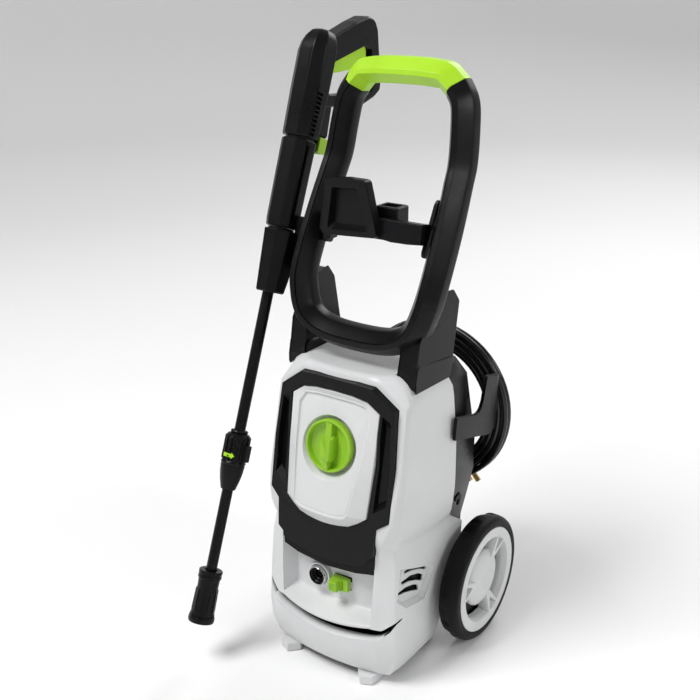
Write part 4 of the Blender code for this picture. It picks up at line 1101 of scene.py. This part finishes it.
def make_bayonet():
    """The ribbed socket that the lance turns into, with its hooked rib."""
    tail = [(9.4, 591.3), (18.6, 591.3), (19.2, 590.4), (19.2, 587), (18.4, 586.2),
            (16.6, 585.6), (16.6, 563), (17.4, 562), (17.4, 559), (15.6, 556), (14.6, 540),
            (14.9, 538), (14.9, 534), (14.2, 532.6), (12.2, 507), (9.4, 506)]
    cuts = [("UNION", merged(*[block((14.0 * math.cos(a) - 1.1, 14.0 * math.sin(a) - 1.1, 512),
                                     (14.0 * math.cos(a) + 1.1, 14.0 * math.sin(a) + 1.1, 556),
                                     on_gun) for a in [math.tau * k / 12 for k in range(12)]]))]
    hook = block((4.0, -19.2, 566), (9.0, -15.6, 583), on_gun)
    hook2 = block((-6.0, -19.2, 566), (9.0, -15.6, 569), on_gun)
    piece("bayonet_socket", *lathe(tail, on_gun, 64, closed=True), BLACK, "gun",
          "black_plastic", ["lance_connector"], parts=cuts)
    piece("bayonet_rib", *merged(hook, hook2), BLACK, "gun", "black_plastic", width=0.4)


def ribs(count, low, high, inner, outer, width, lean=0.0):
    """Straight ribs spaced evenly round the lance, joined into one mesh."""
    shapes = []
    for k in range(count):
        a = math.tau * k / count + 0.13
        ca, sa = math.cos(a), math.sin(a)

        def spot(r, t, s, ca=ca, sa=sa):
            return on_gun(r * ca - t * sa, r * sa + t * ca, s)
        shapes.append(skin([[spot(r, t * width / 2, s) for r, t in
                             ((inner, -1), (outer_s, -0.7), (outer_s, 0.7), (inner, 1))]
                            for s, outer_s in ((low, outer + lean), (low + 1.6, outer + lean),
                                               (high - 1.6, outer), (high, outer - 1.0))]))
    return merged(*shapes)


def make_coupling():
    """The ribbed coupling between the tubes, its thumb tab and its plain arrow."""
    core = [(9.2, 293.5), (12.2, 292.6), (13.0, 290.6), (12.0, 288.6), (15.4, 287.4),
            (17.4, 285.0), (17.6, 280), (16.6, 278), (16.6, 248.5), (18.0, 246.5),
            (18.4, 244.6), (17.4, 242.6), (17.9, 240.6), (17.4, 238), (16.9, 231), (14.9, 220),
            (11.6, 207.5), (10.6, 205), (9.0, 204.2)]
    core = [(0.0, 293.5)] + core + [(0.0, 204.2)]
    fins = ribs(12, 249.0, 284.5, 15.0, 18.9, 4.4)
    flutes = ribs(8, 208.0, 240.0, 9.0, 17.6, 3.2, lean=-6.0)
    tab = skin([[on_gun(x, y, s) for y, s in rounded([(-5, 250), (5, 250), (5, 274),
                                                      (-5, 274)], 1.2, 3)]
                for x in (15.0, 23.4, 24.0)])
    piece("coupling_core", *lathe(core, on_gun, 64), BLACK, "lance", "black_plastic",
          ["lance_coupling"], sharp=30.0)
    piece("coupling_ribs", *merged(fins, flutes), BLACK, "lance", "black_plastic", width=0.3)
    piece("coupling_tab", *tab, BLACK, "lance", "black_plastic", width=0.5)
    arrow = [(-30, -2.6), (2, -2.6), (2, -4.6), (13, 0), (2, 4.6), (2, 2.6), (-30, 2.6)]
    rows = []
    for r in (18.2, 19.5):
        rows.append([on_gun(r * math.sin(math.radians(20 + a * 1.25)),
                            -r * math.cos(math.radians(20 + a * 1.25)), 256.5 + b)
                     for a, b in [(u[0] + (v[0] - u[0]) * k / 4, u[1] + (v[1] - u[1]) * k / 4)
                                  for u, v in zip(arrow, arrow[1:] + arrow[:1])
                                  for k in range(4)]])
    piece("coupling_mark", *skin(rows), LIME, "lance", "lime_plastic")


def make_nozzle():
    """The nozzle sleeve: a waisted shell with notches and ribs."""
    shell = [(8.7, 80), (9.6, 83), (16.6, 83), (17.5, 82), (17.5, 78.4), (16.4, 77.4),
             (16.4, 76.0), (17.3, 75.2), (17.3, 71.4), (16.0, 70.2), (15.5, 60), (15.6, 44),
             (16.6, 24), (18.4, 15), (19.3, 12), (19.5, 8.5), (18.8, 5.6), (17.6, 5.0),
             (13.6, 5.0), (12.6, 6.0), (11, 22), (8.7, 68)]
    cuts = []
    for k in range(10):
        a = math.tau * k / 10 + 0.2
        tri = [(17.0 * math.cos(a + t), 17.0 * math.sin(a + t), s)
               for t, s in ((-0.19, 14.5), (0.19, 14.5), (0.0, 20.0))]
        cuts.append(("DIFFERENCE", skin([[on_gun(x * m, y * m, s) for x, y, s in tri]
                                         for m in (1.0, 1.4)])))
    piece("nozzle_shell", *lathe(shell, on_gun, 80, closed=True), BLACK, "nozzle",
          "black_plastic", ["nozzle_sleeve"], sharp=32.0, parts=cuts)
    piece("nozzle_ribs", *ribs(10, 22.0, 56.0, 14.5, 16.6, 2.2, lean=0.9), BLACK, "nozzle",
          "black_plastic", width=0.3)


def make_lance():
    """The lance: its two tubes with the coupling between them, and the nozzle."""
    piece("wand_upper", *lathe([(8.2, 289.9), (8.2, 569.8)], on_gun, 40), BLACK, "lance",
          "black_plastic", ["lance_tube_upper"])
    make_coupling()
    piece("wand_lower", *lathe([(5.0, 30), (5.0, 74), (8.0, 77), (8.0, 203.8)], on_gun, 40),
          BLACK, "lance", "black_plastic", ["lance_tube_lower"])
    make_nozzle()


def make_cradle():
    """The open cup on the left arm that holds the gun's connector."""
    cup = skin([gun_ring(498, 18.5, 16.5, 18.5, 3), gun_ring(500, 20.2, 18.2, 20.2, 3),
                gun_ring(520, 22, 20, 24, 3), gun_ring(586.5, 27, 26, 30, 3),
                gun_ring(588, 26.2, 25.2, 29.2, 3)])
    bore = lathe([(16.0, 480), (17.6, 560), (20.2, 561), (22.4, 600)], on_gun, 48)
    mouth = block((-40, -40, 480), (-9, 9, 600), on_gun)
    arm = prism(rounded([(96, 560), (138, 548), (160, 618), (116, 632)], 4.0, 3),
                -137.5, -121.6, along_x)
    piece("cradle_cup", *cup, BLACK, "body", "black_plastic", ["lance_cradle"], width=0.8,
          parts=[("UNION", arm), ("DIFFERENCE", bore), ("DIFFERENCE", mouth)])


# ------------------------------------------------------------------ wheels
SPOKES = (52.0, 172.0, 292.0)


def make_spokes(place, body):
    """The three V spokes, each with a pocket sunk between its arms."""
    for k, angle in enumerate(SPOKES):
        a = math.radians(angle)

        def spot(r, t, h, a=a):
            return place(r * math.cos(a) - t * math.sin(a), r * math.sin(a) + t * math.cos(a), h)

        foot = rounded([(26, -4.5), (47, -11.0), (69, -17.0), (72.5, -15.0), (72.5, 15.0),
                        (69, 17.0), (47, 11.0), (26, 4.5)], 1.2, 3)
        crest = rounded([(28, -3.4), (47, -8.6), (68, -14.0), (70.5, -12.0), (70.5, 12.0),
                         (68, 14.0), (47, 8.6), (28, 3.4)], 1.0, 3)
        body_loft = skin([[spot(r, t, 139.0) for r, t in foot],
                          [spot(r, t, 146.5 + 0.14 * (r - 26)) for r, t in foot],
                          [spot(r, t, 152.2 + 0.108 * (r - 26)) for r, t in crest]])
        rim_out = rounded([(41, 0), (65.0, -9.6), (67.2, -7.6), (67.2, 7.6), (65.0, 9.6)],
                          1.0, 3)
        low_out = rounded([(47, 0), (63.0, -6.2), (65, -5.0), (65, 5.0), (63.0, 6.2)], 0.8, 3)
        pocket = skin([[spot(r, t, 170.0) for r, t in rim_out],
                       [spot(r, t, 156.0) for r, t in rim_out],
                       [spot(r, t, 143.0) for r, t in low_out]])
        piece(f"{body}_spoke_{k}", *body_loft, WHITE, body, "white_casing", width=0.7,
              parts=[("DIFFERENCE", pocket)])


def make_tyre(place, body):
    """The tyre, with raised blocks round its outer shoulder."""
    profile = [(82.0, 126.2), (88, 125.2), (91.6, 125.0), (94.4, 127.2), (96.2, 130.6),
               (97.2, 134.6), (97.4, 138.6), (97.3, 144.0), (96.6, 149.4), (94.8, 153.2),
               (92.0, 155.6), (89.0, 156.2), (84.0, 156.3), (82.0, 156.0)]
    steps = 192
    loops = []
    for radius, height in profile:
        loop = []
        for i in range(steps):
            phase = (i % 16) / 16.0
            sunk = 1.0 if 0.10 < phase < 0.72 else 0.0
            share = 1.0 if 127 < height < 139 else 0.0
            r = radius - 2.3 * sunk * share
            loop.append(place(r * math.cos(math.tau * i / steps),
                              r * math.sin(math.tau * i / steps), height))
        loops.append(loop)
    piece(f"{body}_tread", *skin(loops, closed=True), TYRE, body, "tyre_rubber",
          [f"{body}_tyre"], sharp=40.0)


def make_wheel(side, name):
    """A wheel: blocky tyre, flat rim with a trough, domed hub, three V spokes and a black disc
    behind the openings as painted shade.
    """
    place = on_wheel(side)
    body = f"wheel_{name}"
    ring = [(76, 127.5), (81.6, 127.5), (81.6, 155.4), (81.0, 156.3), (67.4, 156.3),
            (66.2, 155.6), (63.4, 149.0), (62.0, 145.5), (61.6, 138.0), (72.0, 135.0),
            (75.0, 131)]
    hub = [(6.6, 150.6), (6.6, 120), (15, 120), (15, 137), (41.6, 138.4), (44.0, 140.6),
           (44.4, 144.0), (43.4, 146.8), (39.6, 149.6), (33, 152.2), (24, 154.4), (13.7, 155.9),
           (13.7, 150.6)]
    piece(f"{body}_ring", *lathe(ring, place, 96, closed=True), WHITE, body, "white_casing",
          [f"{body}_rim"], sharp=36.0)
    piece(f"{body}_hub", *lathe(hub, place, 96, closed=True), WHITE, body, "white_casing",
          sharp=36.0)
    # Painted shade: a black disc behind the openings between hub and ring stands in for the dark
    # seen through them.
    back = [(46, 132), (73, 130), (73, 133.6), (46, 135.8), (16, 134.0), (16, 131.0)]
    piece(f"{body}_web", *lathe(back, place, 64, closed=True), DEEP, body, "black_plastic")
    make_spokes(place, body)
    make_tyre(place, body)
    cap = [(0, 151.6), (13.4, 151.6), (13.4, 155.9), (11.0, 156.3), (6.0, 156.8), (0.01, 157.0)]
    piece(f"{body}_boss", *lathe(cap, place, 48), WHITE, body, "white_casing",
          [f"{body}_cap"], sharp=36.0)


# ------------------------------------------------------------------ hooks, feet, rear
HOOK = [(137, 338), (141, 373), (178, 363), (200, 357), (212, 360), (219, 371), (229, 408),
        (268, 398), (269, 350), (267, 322), (262, 312), (240, 309), (190, 323)]


def make_hooks():
    """The side hooks: plates with a swept inner corner and a chamfered prong."""
    radii = [3, 3, 10, 22, 22, 18, 4, 4, 10, 8, 8, 10, 12]
    shape = rounded(HOOK, radii, 4)
    for side, name in ((1, "right"), (-1, "left")):
        rows = []
        for x, inset in ((115.6, 0.6), (116.4, 0.0), (119.0, 0.0), (121.0, 1.0)):
            row = []
            for y, z in shape:
                rear = max(0.0, min(1.0, (y - 240) / 25.0)) * (x > 120)
                row.append(at(side * x, y - 7.0 * rear - inset * (y > 200),
                              z - inset * (1 if z > 345 else -1)))
            rows.append(row)
        piece(f"hook_{name}", *skin(rows), BLACK, "body", "black_plastic",
              [f"cable_hook_{name}"], width=0.5)


def make_feet():
    """The two front feet, tapered blocks under the bumper."""
    for side, name in ((1, "right"), (-1, "left")):
        outline = rounded([(52, -4), (66, -19), (82, -12), (86, 26), (60, 26)], 2.0, 3)
        rows = [[at(side * (70 + (x - 70) * k), 5 + (y - 5) * k, z) for x, y in outline]
                for z, k in ((0.0, 0.95), (1.2, 1.0), (11.6, 1.0), (14.0, 0.98))]
        piece(f"foot_{name}", *skin(rows), WHITE, "body", "white_casing",
              [f"front_foot_{name}"], width=0.4)


make_grip()
make_handle()
make_holder()
make_gun_shell()
make_grip_insert()
make_gun_sleeve()
make_bayonet()
make_lance()
make_cradle()
make_wheel(1, "right")
make_wheel(-1, "left")
make_hooks()
make_feet()


# ------------------------------------------------------------------ carried-over CAD nodes
ROUNDED = {
    "front_casing": 2.0, "rear_casing": 2.0, "front_bezel": 1.6, "control_panel": 1.2,
    "knob_dish": 0.5, "connector_tray": 1.5, "power_knob": 1.0, "handle_frame": 1.4,
    "handle_grip": 1.4, "accessory_holder": 1.2, "lance_cradle": 1.0, "gun_body": 1.4,
    "gun_sleeve": 1.6, "gun_trigger": 1.2, "hose_release": 0.8, "lance_coupling": 0.8,
    "lance_connector": 0.8, "nozzle_sleeve": 0.8, "outlet_latch": 0.8, "outlet_ring": 0.5,
    "outlet_socket": 0.4, "cord_clip": 0.8, "wheel_right_rim": 0.8, "wheel_left_rim": 0.8,
    "wheel_right_tyre": 1.5, "wheel_left_tyre": 1.5, "wheel_right_cap": 0.8,
    "wheel_left_cap": 0.8, "cable_hook_right": 1.0, "cable_hook_left": 1.0,
    "coil_saddle": 1.0, "coil_keeper": 1.0, "front_foot_right": 1.2, "front_foot_left": 1.2,
    "cable_gland": 0.6, "water_inlet": 0.5, "hose_socket": 0.4,
}


def dress_cad_nodes():
    """Materials and rounded edges for the nodes that are shown as they are."""
    for row in frame["record"]["subparts"]:
        node = NODES[row["node"]]
        if node.hide_render:
            continue
        node.data.materials.clear()
        node.data.materials.append(LOOKS[row["material_slot"]])
        weld = node.modifiers.new("joined_faces", "WELD")
        weld.merge_threshold = 0.00002
        node.data.shade_smooth()
        node.data.set_sharp_from_angle(angle=math.radians(34.0))
        finish_mesh(node, ROUNDED.get(row["node"], 0.0))


dress_cad_nodes()


# ------------------------------------------------------------------ floor and light
def make_stage():
    """A white floor that sweeps up into the backdrop all round."""
    rings = []
    for radius, height in ((0.0001, -0.0006), (1.5, -0.0006), (3.0, -0.0006), (4.2, 0.12),
                           (5.2, 0.6), (5.9, 1.6), (6.2, 3.2), (6.2, 6.0)):
        rings.append([Vector((radius * math.cos(math.tau * i / 96),
                              radius * math.sin(math.tau * i / 96), height))
                      for i in range(96)])
    verts, faces = skin(rings, caps=False)
    mesh = bpy.data.meshes.new("stage")
    mesh.from_pydata([tuple(v) for v in verts], [], faces)
    mesh.shade_smooth()
    paper = bpy.data.materials.new("stage_paper")
    paper.use_nodes = True
    paper.node_tree.nodes["Principled BSDF"].inputs["Base Color"].default_value = (
        0.93, 0.93, 0.93, 1.0)
    paper.node_tree.nodes["Principled BSDF"].inputs["Roughness"].default_value = 0.7
    mesh.materials.append(paper)
    floor = bpy.data.objects.new("stage", mesh)
    bpy.context.scene.collection.objects.link(floor)


def soft_light(name, spot, aim, size, power, height=None):
    lamp = bpy.data.lights.new(name, "AREA")
    lamp.energy = power
    lamp.size = size
    if height:
        lamp.shape = "RECTANGLE"
        lamp.size_y = height
    holder = bpy.data.objects.new(name, lamp)
    holder.location = spot
    holder.rotation_euler = (Vector(aim) - Vector(spot)).to_track_quat("-Z", "Y").to_euler()
    bpy.context.scene.collection.objects.link(holder)


make_stage()
soft_light("key", (-1.1, -1.9, 3.6), (0.0, 0.0, 0.45), 1.5, 118.0)
soft_light("fill", (2.7, 0.2, 2.1), (0.0, 0.0, 0.5), 1.0, 22.0)
soft_light("rim", (0.0, 3.0, 2.6), (0.0, 0.6, 0.2), 1.8, 46.0)
world = bpy.data.worlds.new("studio")
world.use_nodes = True
world.node_tree.nodes["Background"].inputs["Color"].default_value = (1.0, 1.0, 1.0, 1.0)
world.node_tree.nodes["Background"].inputs["Strength"].default_value = 0.22
bpy.context.scene.world = world
bpy.context.scene.view_settings.view_transform = "Standard"
